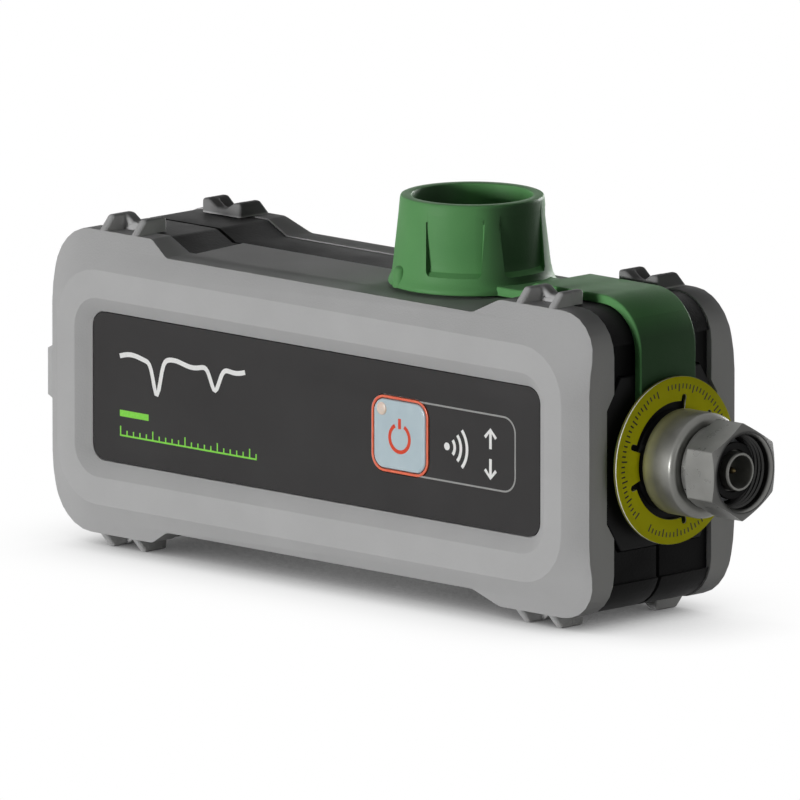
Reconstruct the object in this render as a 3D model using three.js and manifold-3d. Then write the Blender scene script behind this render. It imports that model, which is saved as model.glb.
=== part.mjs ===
// A hand-held antenna analyzer: a two-tone case with a screw-on coaxial connector, a strap and a dust cap.
// Millimetres. X runs along the case to the connector, Y from the front to the back, Z up.
import * as THREE from 'three';
import { mergeVertices } from 'three/addons/utils/BufferGeometryUtils.js';
import Module from 'manifold-3d';

const wasm = await Module();
wasm.setup();

// Counts and shares
const cornerSteps = 6;
const smallSteps = 3;
const roundSides = 32;
const smallSides = 16;
const tinySides = 8;
const cableSides = 8;
const half = 0.5;

// Clearances
const seat = 0.3;
const closeSeat = 0.2;
const overrun = 1;

// Case
const caseLength = 166.8;
const caseDepth = 52.7;
const padHeight = 68.4;
const deckHeight = 61.72;
const deckCrown = 0.79;
const deckLength = 95;
const slopeRun = 6.5;
const caseCorner = 10;
const slopeRound = 3;
const wall = 2.4;
const liner = 1.8;
const frontWall = 4.85;
const bandStep = 0.25;

// Chamfer round the front and the back
const ringHalfLength = 78.3;
const ringHalfHeight = 26.4;
const ringCorner = 12;
const chamferDepth = 3.55;
const chamferCorner = 14;
const padChamferDepth = 1.86;
const padChamferRise = 3.3;

// Recess and label panel
const panelLength = 138.7;
const panelHeight = 33.3;
const panelCorner = 3.5;
const panelThick = 0.9;
const recessDepth = 2.43;
const recessRun = 3.3;

// Where the light covers end
const rearLipStep = 0.5;
const tongueInset = 1.5;
const seamWidth = 1;
const gasketThick = 0.6;
const gasketWidth = 1.4;

// Ends of the dark band
const endRecess = 1;
const endRecessHalfHeight = 26.5;
const gripHeight = 14.5;
const gripProud = 1.6;
const gripChamfer = 2;
const gripRise = 0.85;
const gripInset = 2.3;

// Feet
const footRise = 3.2;
const finThick = 2.1;
const finInner = 59.7;
const finOuter = 69.6;
const finSlopeShare = 0.509;
const finRound = 1.2;
const footInset = 5.45;
const saddleThick = 3.3;
const saddleDip = 1.7;
const strapMargin = 2.77;

// Screw posts and case screws
const postRadius = 2.7;
const postBore = 1.7;
const shankRadius = 1.4;
const headRadius = 2.3;
const headHeight = 1.8;
const headPocketDepth = 2.4;
const cornerPostX = 72.6;
const cornerPostZ = 20.4;
const middlePostZ = 23.3;
const screwEngage = 9;

// Power button
const buttonX = 26.4;
const buttonZ = 0.7;
const buttonLength = 17.5;
const buttonHeight = 17.1;
const buttonCorner = 3.8;
const buttonRim = 0.6;
const buttonProud = 0.35;
const rimProud = 0.2;
const flangeGrow = 1.4;
const flangeThick = 1.1;
const stemRadius = 2.5;
const lensRadius = 1.5;
const lensDrop = 5.5;
const lensLength = 2;

// Connector end plate and neck
const plateHalfWidth = 17;
const plateStraight = 12.3;
const plateTopHalfWidth = 12.4;
const plateHalfHeight = 19.3;
const plateThick = 2.9;
const plateInset = 0.35;
const neckRadius = 11.2;
const neckLength = 5.35;

// Torque ring
const torqueStandoff = 4.5;
const torqueThick = 1.15;
const torqueRadius = 18.6;
const torqueHole = 13.1;
const slotReach = 14.7;
const slotWidth = 1.4;
const fingerAngles = [60, 180, 300];
const slotAngle = 19;
const fingerAngle = 17;

// Connector
const collarRadius = 11.7;
const collarLength = 9.2;
const collarRound = 1.1;
const hexSides = 6;
const hexFlats = 19.05;
const hexLength = 9.1;
const nutNeckLength = 1.7;
const nutNeckRadius = 9.3;
const nutBore = 8.15;
const nutBoreMouth = 8.9;
const nutLipBore = 6.6;
const nutLip = 2.4;
const hexBreak = 0.55;
const sleeveOuter = 4.35;
const sleeveInner = 3.5;
const sleeveSetback = 1.3;
const sleeveDepth = 7.6;
const barrelRadius = 7.8;
const shoulderRadius = 6.2;
const shoulderReach = 4;
const flangeHalf = 12.7;
const connectorFlange = 2.6;
const connectorTail = 4.5;
const tailRadius = 5.2;
const insulatorRadius = 2.3;
const insulatorBore = 1.05;
const pinRadius = 0.8;
const pinSetback = 1.7;
const pinPoint = 1.2;
const pinTail = 2;
const washerThick = 0.9;
const washerWidth = 1.9;
const retainerThick = 0.8;
const retainerGroove = 5.6;
const retainerRadius = 7.3;

// Strap and cap
const strapWidth = 17.26;
const strapThick = 2.1;
const strapGap = 0.15;
const loopRadius = 15.6;
const strapFoot = 19.4;
const hingeGap = 0.3;
const capSetback = 4;
const capFlange = 18.5;
const capBottomRadius = 17.9;
const capTopRadius = 15.9;
const capRim = 15.66;
const capBore = 13.3;
const capHeight = 19.8;
const capFloor = 2.4;
const capPanelDepth = 1.45;
const capPanelTopDepth = 0.25;
const capPanelAngle = 46;
const capPanelFoot = 1.4;
const capPanelTop = 5;
const capPanels = [-60, 0, 60, 120, 180];
const tabAngle = -111;
const tabReach = 0.5;
const tabRadius = 1.75;
const tabThick = 4.9;

// Port at the left end
const doorMargin = 3;
const doorTop = 8;
const doorBottom = -5.6;
const doorThick = 1.7;
const doorPocketDepth = 1.5;
const hingeZ = -7.2;
const hingeRadius = 1.2;
const hingePinRadius = 0.6;
const hingeBore = 0.75;
const knuckleMargin = 0.9;
const earThick = 3;
const portMargin = 3;
const portTop = 5;
const portBottom = -4;
const portZ = 0.6;
const socketWidth = 9;
const socketHeight = 3.4;
const socketWall = 0.35;
const socketDepth = 7.4;
const socketBack = 1.2;
const frameThick = 1.6;
const frameMargin = 2;

// Electronics
const boardThick = 1.6;
const boardGap = 11.1;
const boardStart = -69;
const boardEnd = 62;
const boardHalfHeight = 20;
const boardPostX = 56;
const boardPostZ = 15.5;
const boardShank = 1.15;
const boardBore = 1.5;
const boardHead = 2.4;
const boardHeadHeight = 1.4;
const boardScrewReach = 6;
const shieldStart = 22;
const shieldEnd = 50;
const shieldHalfHeight = 13;
const shieldRise = 6;
const shieldWall = 0.6;
const moduleX = 44;
const moduleZ = 1;
const moduleLength = 12;
const moduleHeight = 16;
const moduleThick = 2.4;
const switchHalf = 3;
const switchBody = 3.4;
const switchKnobRadius = 1.7;
const switchGap = 0.6;
const switchKnob = 1;
const cellRadius = 9.2;
const cellLength = 65;
const cellStart = -48;
const cellZ = 9.6;
const trayLength = 54;
const trayWall = 2.5;
const trayHalfHeight = 18;
const cableRadius = 1.2;
const cableSteps = 16;
const cableLead = 3;
const cableDrop = 1.8;

// Flange screws
const flangeScrewOut = 9;
const flangeShank = 1.2;
const flangeBore = 1.5;
const flangeHead = 2.2;
const flangeHeadHeight = 1.6;
const flangeScrewBite = 1.9;

// Values worked out from the sizes above
const endX = caseLength * half;
const frontY = -caseDepth * half;
const padZ = padHeight * half;
const deckZ = deckHeight * half;
const deckX = deckLength * half;
const padX = deckX + slopeRun;
const crownZ = deckZ + deckCrown;
const slopeAngle = Math.atan2(padZ - deckZ, slopeRun);
const sideY = frontY + chamferDepth;
const innerY = frontY + frontWall;
const panelY = frontY + recessDepth;
const panelBackY = panelY + panelThick;
const floorY = panelBackY + closeSeat;
const strapY = strapWidth * half;
const footBack = strapY + strapMargin;
const coverLip = -frontY - footBack - saddleThick - seat;
const rearCoverLip = coverLip - rearLipStep;
const coverEndY = frontY + coverLip;
const gripReach = coverEndY - sideY - gripInset;
const bandEndX = endX - bandStep;
const bandPadZ = padZ - bandStep;
const recessX = bandEndX - endRecess;
const footZ = padZ + footRise;
const seamY = seamWidth * half;
const innerEndX = endX - wall - seat - liner;
const footFront = -frontY - footInset;
const finSlope = (footFront + coverEndY - closeSeat) * finSlopeShare;
const doorHalfWidth = -coverEndY - doorMargin;
const knuckleHalf = doorHalfWidth - knuckleMargin - closeSeat - earThick;
const portHalfWidth = socketWidth * half + portMargin;
const boardBack = innerY + boardGap;
const boardFront = boardBack - boardThick;
const cellY = -innerY - closeSeat - trayWall - cellRadius;
const cableEntryY = boardBack + closeSeat + shieldRise - cableDrop;
const hexRadius = hexFlats * half / Math.cos(Math.PI / hexSides);
const hingeX = endX - seat;
const plateFace = endX - plateInset;
const fingerReach = neckRadius + seat;
const torqueFace = plateFace + torqueStandoff;
const neckEnd = plateFace + neckLength;
const collarStart = neckEnd + seat;
const collarEnd = collarStart + collarLength;
const shoulderEnd = collarEnd + shoulderReach;
const hexStart = collarEnd + nutNeckLength;
const nutFace = hexStart + hexLength;
const sleeveTip = nutFace - sleeveSetback;
const sleeveFloor = sleeveTip - sleeveDepth;
const pinTip = sleeveTip - pinSetback;
const capX = deckX - capFlange - capSetback;
const strapEndX = bandEndX + strapGap;
const strapPadZ = bandPadZ + strapGap;
const strapDeckZ = crownZ + strapGap;
const capTop = strapDeckZ + capHeight;
const pivotCorner = [endX - caseCorner - bandStep, strapPadZ + strapThick];
const pivotCap = [capX + capFlange + hingeGap * half, strapDeckZ + strapThick];

const deg = (angle) => THREE.MathUtils.degToRad(angle);
const polar = (radius, angle) => [radius * Math.cos(angle), radius * Math.sin(angle)];

// Outline with rounded corners: each corner is [x, y, radius, steps]
function rounded(corners) {
  const points = [];
  const count = corners.length;
  corners.forEach(([x, y, radius = 0, steps = cornerSteps], i) => {
    const here = new THREE.Vector2(x, y);
    if (radius === 0) {
      points.push(here);
      return;
    }
    const [bx, by] = corners[(i + count - 1) % count];
    const [ax, ay] = corners[(i + 1) % count];
    const before = new THREE.Vector2(bx, by).sub(here).normalize();
    const after = new THREE.Vector2(ax, ay).sub(here).normalize();
    const halfAngle = before.angleTo(after) * half;
    const start = here.clone().addScaledVector(before, radius / Math.tan(halfAngle));
    const end = here.clone().addScaledVector(after, radius / Math.tan(halfAngle));
    const middle = before.clone().add(after).normalize();
    const centre = here.clone().addScaledVector(middle, radius / Math.sin(halfAngle));
    const from = start.clone().sub(centre).angle();
    const turn = end.clone().sub(centre).angle() - from;
    const sweep = Math.atan2(Math.sin(turn), Math.cos(turn));
    for (let k = 0; k <= steps; k += 1) {
      const [dx, dy] = polar(radius, from + sweep * k / steps);
      points.push(new THREE.Vector2(centre.x + dx, centre.y + dy));
    }
  });
  return points;
}

// Rectangle with rounded corners round (x, y)
function roundedBox(halfX, halfY, radius, x = 0, y = 0, steps = cornerSteps) {
  return rounded([
    [x - halfX, y - halfY, radius, steps], [x + halfX, y - halfY, radius, steps],
    [x + halfX, y + halfY, radius, steps], [x - halfX, y + halfY, radius, steps],
  ]);
}

// Circle as an outline
function circle(radius, x = 0, y = 0, sides = smallSides) {
  const points = [];
  for (let k = 0; k < sides; k += 1) {
    const [dx, dy] = polar(radius, 2 * Math.PI * k / sides);
    points.push(new THREE.Vector2(x + dx, y + dy));
  }
  return points;
}

// Turn an outline drawn in X and Y so that it is swept along X, Y or Z
function sweepAlong(geometry, axis) {
  if (axis === 'x') {
    geometry.rotateX(Math.PI / 2).rotateZ(Math.PI / 2);
  } else if (axis === 'y') {
    geometry.rotateX(Math.PI / 2);
  }
  return geometry;
}

// Prism between two levels: along y the outline is X and Z, along x it is Y and Z
function prism(axis, points, low, high) {
  const geometry = new THREE.ExtrudeGeometry(new THREE.Shape(points), {
    depth: high - low, bevelEnabled: false,
  });
  geometry.translate(0, 0, axis === 'y' ? -high : low);
  return solid(sweepAlong(geometry, axis));
}

// Stack of outlines with equal point counts, each [outline, level]
function loft(axis, sections) {
  const count = sections[0][0].length;
  const positions = [];
  const clockwise = THREE.ShapeUtils.isClockWise(sections[0][0]);
  const ordered = sections.map(([points, level]) => [clockwise ? [...points].reverse() : points, level]);
  ordered.forEach(([points, level]) => {
    points.forEach((p) => positions.push(p.x, p.y, axis === 'y' ? -level : level));
  });
  const index = [];
  for (let s = 0; s + 1 < sections.length; s += 1) {
    for (let k = 0; k < count; k += 1) {
      const a = s * count + k;
      const b = s * count + (k + 1) % count;
      index.push(a, b, b + count, a, b + count, a + count);
    }
  }
  const last = (sections.length - 1) * count;
  THREE.ShapeUtils.triangulateShape(ordered[0][0], []).forEach(([a, b, c]) => index.push(a, c, b));
  THREE.ShapeUtils.triangulateShape(ordered[sections.length - 1][0], []).forEach(([a, b, c]) => {
    index.push(last + a, last + b, last + c);
  });
  const geometry = new THREE.BufferGeometry();
  geometry.setAttribute('position', new THREE.Float32BufferAttribute(positions, 3));
  geometry.setIndex(index);
  return solid(sweepAlong(geometry, axis));
}

// Turned piece round an axis: the profile is [level, radius] and closes on itself or on the axis
function turned(axis, profile, sides = roundSides) {
  const points = profile.map(([level, radius]) => new THREE.Vector2(radius, level));
  const closed = profile[0][1] !== 0;
  if (closed) {
    points.push(points[0].clone());
  }
  const geometry = new THREE.LatheGeometry(points, sides);
  if (axis === 'x') {
    geometry.rotateZ(-Math.PI / 2);
  } else if (axis === 'z') {
    geometry.rotateX(Math.PI / 2);
  }
  return solid(geometry);
}

function box(x0, x1, y0, y1, z0, z1) {
  const geometry = new THREE.BoxGeometry(x1 - x0, y1 - y0, z1 - z0);
  geometry.translate((x0 + x1) * half, (y0 + y1) * half, (z0 + z1) * half);
  return solid(geometry);
}

// Closed mesh to a solid, with its faces pointing out
function solid(source) {
  const geometry = source.clone();
  geometry.deleteAttribute('normal');
  geometry.deleteAttribute('uv');
  const merged = mergeVertices(geometry);
  const vertProperties = Float32Array.from(merged.attributes.position.array);
  const corners = Array.from(merged.index.array);
  const triangles = [];
  let volume = 0;
  const point = (k) => new THREE.Vector3().fromArray(vertProperties, 3 * k);
  for (let k = 0; k < corners.length; k += 3) {
    const [a, b, c] = corners.slice(k, k + 3);
    if (a !== b && b !== c && c !== a) {
      triangles.push(a, b, c);
      volume += point(a).dot(point(b).cross(point(c)));
    }
  }
  if (volume < 0) {
    triangles.reverse();
  }
  const mesh = new wasm.Mesh({ numProp: 3, vertProperties, triVerts: Uint32Array.from(triangles) });
  return new wasm.Manifold(mesh);
}

function join(first, ...others) {
  return others.reduce((whole, next) => whole.add(next), first);
}

function cut(first, ...others) {
  return others.reduce((whole, next) => whole.subtract(next), first);
}

function both(first, second) {
  return first.intersect(second);
}

function geometryOf(piece) {
  const mesh = piece.getMesh();
  const geometry = new THREE.BufferGeometry();
  geometry.setAttribute('position', new THREE.BufferAttribute(Float32Array.from(mesh.vertProperties), 3));
  geometry.setIndex(Array.from(mesh.triVerts));
  const flat = geometry.toNonIndexed();
  flat.computeVertexNormals();
  return flat;
}

function moved(piece, x, y, z) {
  return piece.translate([x, y, z]);
}

// Finishes
const finish = (color, roughness, metalness = 0) => new THREE.MeshStandardMaterial({
  color, roughness, metalness,
});
const finishes = {
  lightCover: finish(0xa6a6a6, 0.55),
  darkHousing: finish(0x35363a, 0.6),
  blackPlastic: finish(0x141416, 0.5),
  panel: finish(0x3b3a3a, 0.35),
  button: finish(0xb4bcc0, 0.45),
  orange: finish(0xf0583a, 0.4),
  lens: finish(0xf2d3bd, 0.2),
  green: finish(0x3c7f42, 0.6),
  yellow: finish(0x9a9a2a, 0.5),
  nickel: finish(0x9b9b9b, 0.25, 1),
  gold: finish(0xc9a54e, 0.25, 1),
  insulator: finish(0xe9e9e4, 0.5),
  rubber: finish(0x1b1b1c, 0.85),
  board: finish(0x1f5a34, 0.5),
  tin: finish(0xb9bcc0, 0.35, 1),
  cell: finish(0x2f5f9e, 0.4),
  steel: finish(0x8d8f92, 0.35, 1),
};

const analyzer = new THREE.Group();
const assembly = new THREE.Group();
analyzer.add(assembly);

function add(name, material, piece) {
  const mesh = new THREE.Mesh(geometryOf(piece), finishes[material].clone());
  mesh.name = name;
  assembly.add(mesh);
}

// Outline of the case in X and Z, drawn in by an inset
function caseOutline(inset) {
  const shift = inset * Math.tan(slopeAngle * half);
  const corner = Math.max(caseCorner - inset, slopeRound);
  const top = [
    [endX - inset, padZ - inset, corner],
    [padX + shift, padZ - inset, slopeRound, smallSteps],
    [deckX + shift, deckZ - inset, slopeRound, smallSteps],
    [-deckX - shift, deckZ - inset, slopeRound, smallSteps],
    [-padX - shift, padZ - inset, slopeRound, smallSteps],
    [-endX + inset, padZ - inset, corner],
  ];
  const bottom = top.map(([x, z, ...rest]) => [-x, -z, ...rest]);
  return rounded([...top, ...bottom]);
}

// Roof-shaped crown on the deck, on top and below, drawn in by an inset
function crown(inset) {
  const reach = deckX + (slopeRun - inset) * half;
  const low = deckZ - inset;
  const high = crownZ - inset;
  const roof = [[sideY, low - wall], [-sideY, low - wall], [-sideY, low], [0, high], [sideY, low]];
  const upper = roof.map(([y, z]) => new THREE.Vector2(y, z));
  const lower = roof.map(([y, z]) => new THREE.Vector2(y, -z)).reverse();
  return join(prism('x', upper, -reach, reach), prism('x', lower, -reach, reach));
}

// Space inside the chamfer that runs round the front
function frontEnvelope() {
  const chamferRun = endX - ringHalfLength;
  const rise = deckZ - ringHalfHeight;
  const run = chamferRun * (padChamferDepth + overrun) / chamferDepth;
  const padRise = padChamferRise * (padChamferDepth + overrun) / padChamferDepth;
  const padY = sideY + padChamferDepth + overrun;
  return loft('y', [
    [roundedBox(ringHalfLength, ringHalfHeight, ringCorner), frontY],
    [roundedBox(ringHalfLength + chamferRun, ringHalfHeight + rise, chamferCorner), sideY],
    [roundedBox(endX + run, deckZ + padRise, chamferCorner), padY],
    [roundedBox(endX + run, deckZ + padRise, chamferCorner), overrun],
  ]);
}

// Recess with sloped walls and the pocket for a plate in it
function recess() {
  const slope = recessRun / recessDepth;
  const outline = (grow) => roundedBox(
    panelLength * half + closeSeat + grow,
    panelHeight * half + closeSeat + grow,
    panelCorner + closeSeat + grow,
  );
  const sloped = loft('y', [
    [outline(recessRun + slope * overrun), frontY - overrun], [outline(0), panelY],
  ]);
  return join(sloped, prism('y', outline(0), panelY - overrun * half, floorY));
}

// Foot, drawn for the top right of the front cover: two fins, and a saddle that joins them over the dark pad
function foot(lipEnd) {
  const root = Math.abs(lipEnd) + closeSeat;
  const low = finInner - finThick * half;
  const high = finOuter + finThick * half;
  const side = rounded([
    [-root, padZ - wall], [-footFront, padZ - wall],
    [-footFront, padZ], [-footFront + finSlope, footZ, finRound, smallSteps],
    [-footBack, footZ], [-footBack, padZ], [-root, padZ],
  ]);
  const fins = [finInner, finOuter].map((x) => prism('x', side, x - finThick * half, x + finThick * half));
  const middle = (low + high) * half;
  const dipHalf = (finOuter - finInner) * half - finThick;
  const saddle = rounded([
    [low, padZ], [high, padZ], [high, footZ], [finOuter - finThick * half, footZ],
    [middle + dipHalf * half, footZ - saddleDip, finThick, smallSteps],
    [middle - dipHalf * half, footZ - saddleDip, finThick, smallSteps],
    [finInner + finThick * half, footZ], [low, footZ],
  ]);
  return join(prism('y', saddle, -footBack - saddleThick, -footBack), ...fins);
}

// The same piece on the left and right, above and below
function fourWays(piece) {
  const flips = [[1, 1], [-1, 1], [1, -1], [-1, -1]];
  return flips.map(([x, z]) => piece.scale([x, 1, z]));
}

// The eight-sided window for the connector plate, grown by a clearance
function plateOutline(grow) {
  const corners = [
    [plateHalfWidth, -plateStraight], [plateHalfWidth, plateStraight],
    [plateTopHalfWidth, plateHalfHeight], [-plateTopHalfWidth, plateHalfHeight],
    [-plateHalfWidth, plateStraight], [-plateHalfWidth, -plateStraight],
    [-plateTopHalfWidth, -plateHalfHeight], [plateTopHalfWidth, -plateHalfHeight],
  ];
  return corners.map(([y, z]) => new THREE.Vector2(y + grow * Math.sign(y), z + grow * Math.sign(z)));
}

function plateWindow() {
  return prism('x', plateOutline(seat), innerEndX - overrun, endX + overrun);
}

const postPlaces = [
  [cornerPostX, cornerPostZ], [-cornerPostX, cornerPostZ], [0, middlePostZ],
  [cornerPostX, -cornerPostZ], [-cornerPostX, -cornerPostZ], [0, -middlePostZ],
];
const boardPosts = [
  [boardPostX, boardPostZ], [-boardPostX, boardPostZ],
  [boardPostX, -boardPostZ], [-boardPostX, -boardPostZ],
];

// One light cover, drawn as the front one
function lightCover(lipEnd, withTongue) {
  const outer = both(join(prism('y', caseOutline(0), frontY, overrun), crown(0)), frontEnvelope());
  const inner = join(prism('y', caseOutline(wall), innerY, overrun * 2), crown(wall));
  let shell = cut(outer, inner);
  const behind = [];
  const reach = caseLength;
  if (withTongue) {
    const side = deckX - tongueInset;
    behind.push(box(side, reach, lipEnd, reach, -reach, reach));
    behind.push(box(-reach, -side, lipEnd, reach, -reach, reach));
    behind.push(box(-reach, reach, -closeSeat, reach, -reach, reach));
  } else {
    behind.push(box(-reach, reach, lipEnd, reach, -reach, reach));
  }
  shell = cut(shell, ...behind, recess());
  const feet = fourWays(foot(lipEnd));
  const grip = rounded([
    [-gripHeight * half, endX - wall], [gripHeight * half, endX - wall],
    [gripHeight * half - gripChamfer, endX + gripProud], [-gripHeight * half + gripChamfer, endX + gripProud],
  ]).map((p) => new THREE.Vector2(-p.y, p.x + gripRise));
  const pad = prism('y', grip, sideY + closeSeat, sideY + gripReach);
  return join(shell, ...feet, pad);
}

function post(x, z, radius, low, high) {
  return prism('y', circle(radius, x, z, tinySides), low, high);
}

function mirrorY(piece) {
  return piece.scale([1, -1, 1]);
}

// Front cover
function frontShell() {
  const posts = postPlaces.map(([x, z]) => post(x, z, postRadius, innerY - overrun, -closeSeat));
  const standoffs = boardPosts.map(([x, z]) => (
    post(x, z, postRadius, innerY - overrun, boardFront - closeSeat)));
  const shell = join(lightCover(coverEndY, true), ...posts, ...standoffs);
  const bores = postPlaces.map(([x, z]) => post(x, z, postBore, -screwEngage - overrun, 0));
  const holes = boardPosts.map(([x, z]) => (
    post(x, z, boardBore, boardFront - boardScrewReach - overrun, boardFront)));
  const buttonHole = prism('y', buttonOutline(closeSeat - buttonRim), floorY - overrun, innerY + overrun);
  return cut(shell, ...bores, ...holes, buttonHole, plateWindow());
}

// Rear cover
function rearShell() {
  const posts = postPlaces.map(([x, z]) => post(x, z, postRadius, innerY - overrun, -closeSeat));
  const shell = join(lightCover(frontY + rearCoverLip, false), ...posts);
  const bores = postPlaces.map(([x, z]) => post(x, z, postBore, frontY - overrun, 0));
  const pockets = postPlaces.map(([x, z]) => (
    post(x, z, headRadius + seat, frontY - overrun, frontY + headPocketDepth)));
  return mirrorY(cut(shell, ...bores, ...pockets, plateWindow()));
}

// Pocket for the port door and the window to the socket behind it
function portCuts() {
  const floor = -recessX + doorPocketDepth - endRecess;
  const pocket = box(-caseLength, floor, -doorHalfWidth - seat, doorHalfWidth + seat,
    hingeZ - hingeRadius - seat, doorTop + seat);
  const window = box(-caseLength, -innerEndX + overrun, -portHalfWidth, portHalfWidth, portBottom, portTop);
  return [pocket, window];
}

// Ear that holds the door's hinge pin, drawn for the front half
function hingeEar() {
  const floor = -recessX + doorPocketDepth - endRecess;
  const near = -knuckleHalf - closeSeat - earThick;
  const far = -knuckleHalf - closeSeat;
  const barrel = prism('y', circle(hingeRadius, -hingeX, hingeZ, tinySides), near, far);
  const rootHalf = hingeRadius * half;
  const root = box(-hingeX, floor + overrun, near, far, hingeZ - rootHalf, hingeZ + rootHalf);
  const bore = prism('y', circle(hingeBore, -hingeX, hingeZ, tinySides), near - overrun, far + overrun);
  return cut(join(barrel, root), bore);
}

// One dark housing, drawn as the front one
function darkHousing(coverLipEnd, underTongue) {
  const innerInset = wall + seat;
  const deepInset = innerInset + liner;
  const linerStart = innerY + seat;
  const tube = (inset) => join(prism('y', caseOutline(inset), frontY, overrun), crown(inset));
  const cavity = join(prism('y', caseOutline(deepInset), frontY - overrun, overrun * 2), crown(deepInset));
  const inner = both(tube(innerInset), box(-endX, endX, linerStart, -seamY, -footZ, footZ));
  let band = both(tube(bandStep),
    box(-endX, endX, coverLipEnd + closeSeat, -seamY, -footZ, footZ));
  if (underTongue) {
    const side = deckX - tongueInset + seat;
    const clear = padZ;
    const low = deckZ - innerInset - liner * half;
    const upperCut = box(-side, side, frontY, overrun, low, clear);
    const lowerCut = box(-side, side, frontY, overrun, -clear, -low);
    band = cut(band, upperCut, lowerCut);
  }
  const body = join(inner, band);
  const ends = [1, -1].map((side) => {
    const [a, b] = [side * recessX, side * caseLength].sort((p, q) => p - q);
    return box(a, b, frontY, overrun, -endRecessHalfHeight, endRecessHalfHeight);
  });
  return join(cut(body, cavity, ...ends, plateWindow(), ...portCuts()), hingeEar());
}

// Half of the seal in the centre seam
function seamGasket(side) {
  const outerInset = wall + seat;
  const thick = gasketThick * half;
  const ring = cut(prism('y', caseOutline(outerInset), -thick, thick),
    prism('y', caseOutline(outerInset + gasketWidth), -caseDepth, caseDepth));
  const clear = plateHalfHeight + seat * 2;
  const [low, high] = side > 0 ? [clear, padZ] : [-padZ, -clear];
  return both(ring, box(-endX, endX, frontY, -frontY, low, high));
}

// Plate in a recess
function recessPlate() {
  return prism('y', roundedBox(panelLength * half, panelHeight * half, panelCorner), panelY, panelBackY);
}

function buttonOutline(grow) {
  const halfLength = buttonLength * half + grow;
  const halfHeight = buttonHeight * half + grow;
  return roundedBox(halfLength, halfHeight, buttonCorner + grow, buttonX, buttonZ);
}

function labelPanel() {
  return cut(recessPlate(), prism('y', buttonOutline(closeSeat), frontY, 0));
}

function buttonRing() {
  return cut(prism('y', buttonOutline(0), panelY - rimProud, panelBackY),
    prism('y', buttonOutline(-buttonRim), frontY, 0));
}

// Power button: cap, retaining flange behind the wall, and stem
const buttonFaceY = panelY - buttonProud;
const lensX = buttonX - lensDrop;
const lensZ = buttonZ + lensDrop;
const buttonFlangeY = innerY + seat;
const stemEndY = boardFront - closeSeat - switchBody - switchKnob - switchGap;

function powerButton() {
  const capBack = buttonFlangeY + flangeThick * half;
  const cap = prism('y', buttonOutline(-buttonRim - closeSeat), buttonFaceY, capBack);
  const flange = prism('y', buttonOutline(flangeGrow), buttonFlangeY, buttonFlangeY + flangeThick);
  const stem = post(buttonX, buttonZ, stemRadius, buttonFlangeY, stemEndY);
  const lensEnd = buttonFaceY + lensLength + closeSeat;
  const lensBore = post(lensX, lensZ, lensRadius + closeSeat * half, frontY, lensEnd);
  return cut(join(cap, flange, stem), lensBore);
}

// Connector plate
const plateBackX = plateFace - plateThick;
const flangeFaceX = plateBackX - closeSeat;
const flangeBackX = flangeFaceX - connectorFlange;
const flangeScrewPlaces = [[1, 1], [-1, 1], [1, -1], [-1, -1]].map(([y, z]) => (
  [y * flangeScrewOut, z * flangeScrewOut]));

function connectorPlate() {
  const plate = prism('x', plateOutline(0), plateBackX, plateFace);
  const start = plateBackX - overrun;
  const bore = prism('x', circle(barrelRadius + closeSeat, 0, 0, roundSides), start, plateFace + overrun);
  const holeEnd = plateBackX + flangeScrewBite + closeSeat;
  const holes = flangeScrewPlaces.map(([y, z]) => (
    prism('x', circle(flangeBore, y, z, tinySides), start, holeEnd)));
  return cut(plate, bore, ...holes);
}

function ringProfile(start, end, outer, inner) {
  return [[start, inner], [start, outer], [end, outer], [end, inner]];
}

function connectorNeck() {
  return turned('x', ringProfile(plateFace + closeSeat, neckEnd, neckRadius, barrelRadius + closeSeat));
}

// Torque ring with fingers that grip the neck
function torqueRing() {
  const back = torqueFace - torqueThick;
  const ring = turned('x', ringProfile(back, torqueFace, torqueRadius, torqueHole));
  const fingers = fingerAngles.map((angle) => {
    const points = [];
    const outer = torqueHole + slotWidth * half;
    for (let k = -cornerSteps; k <= cornerSteps; k += 1) {
      points.push(new THREE.Vector2(...polar(outer, deg(angle + fingerAngle * k / cornerSteps))));
    }
    for (let k = cornerSteps; k >= -cornerSteps; k -= 1) {
      points.push(new THREE.Vector2(...polar(fingerReach, deg(angle + fingerAngle * k / cornerSteps))));
    }
    return prism('x', points, back, torqueFace);
  });
  const gapHalf = slotWidth * half;
  const centreOut = slotReach - gapHalf;
  const slotInner = fingerReach - overrun;
  const low = back - overrun;
  const high = torqueFace + overrun;
  const slots = fingerAngles.flatMap((angle) => [-slotAngle, slotAngle].map((side) => {
    const end = prism('x', circle(gapHalf, centreOut, 0, tinySides), low, high);
    const run = box(low, high, slotInner, centreOut, -gapHalf, gapHalf);
    return join(end, run).rotate([angle + side, 0, 0]);
  }));
  return cut(join(ring, ...fingers), ...slots);
}

// Collar behind the nut
function connectorCollar() {
  const inner = barrelRadius + closeSeat;
  return turned('x', [
    [collarStart, inner], [collarStart, collarRadius], [collarEnd - collarRound, collarRadius],
    [collarEnd, collarRadius - collarRound], [collarEnd, inner],
  ]);
}

const nutBack = collarEnd + seat;

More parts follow.
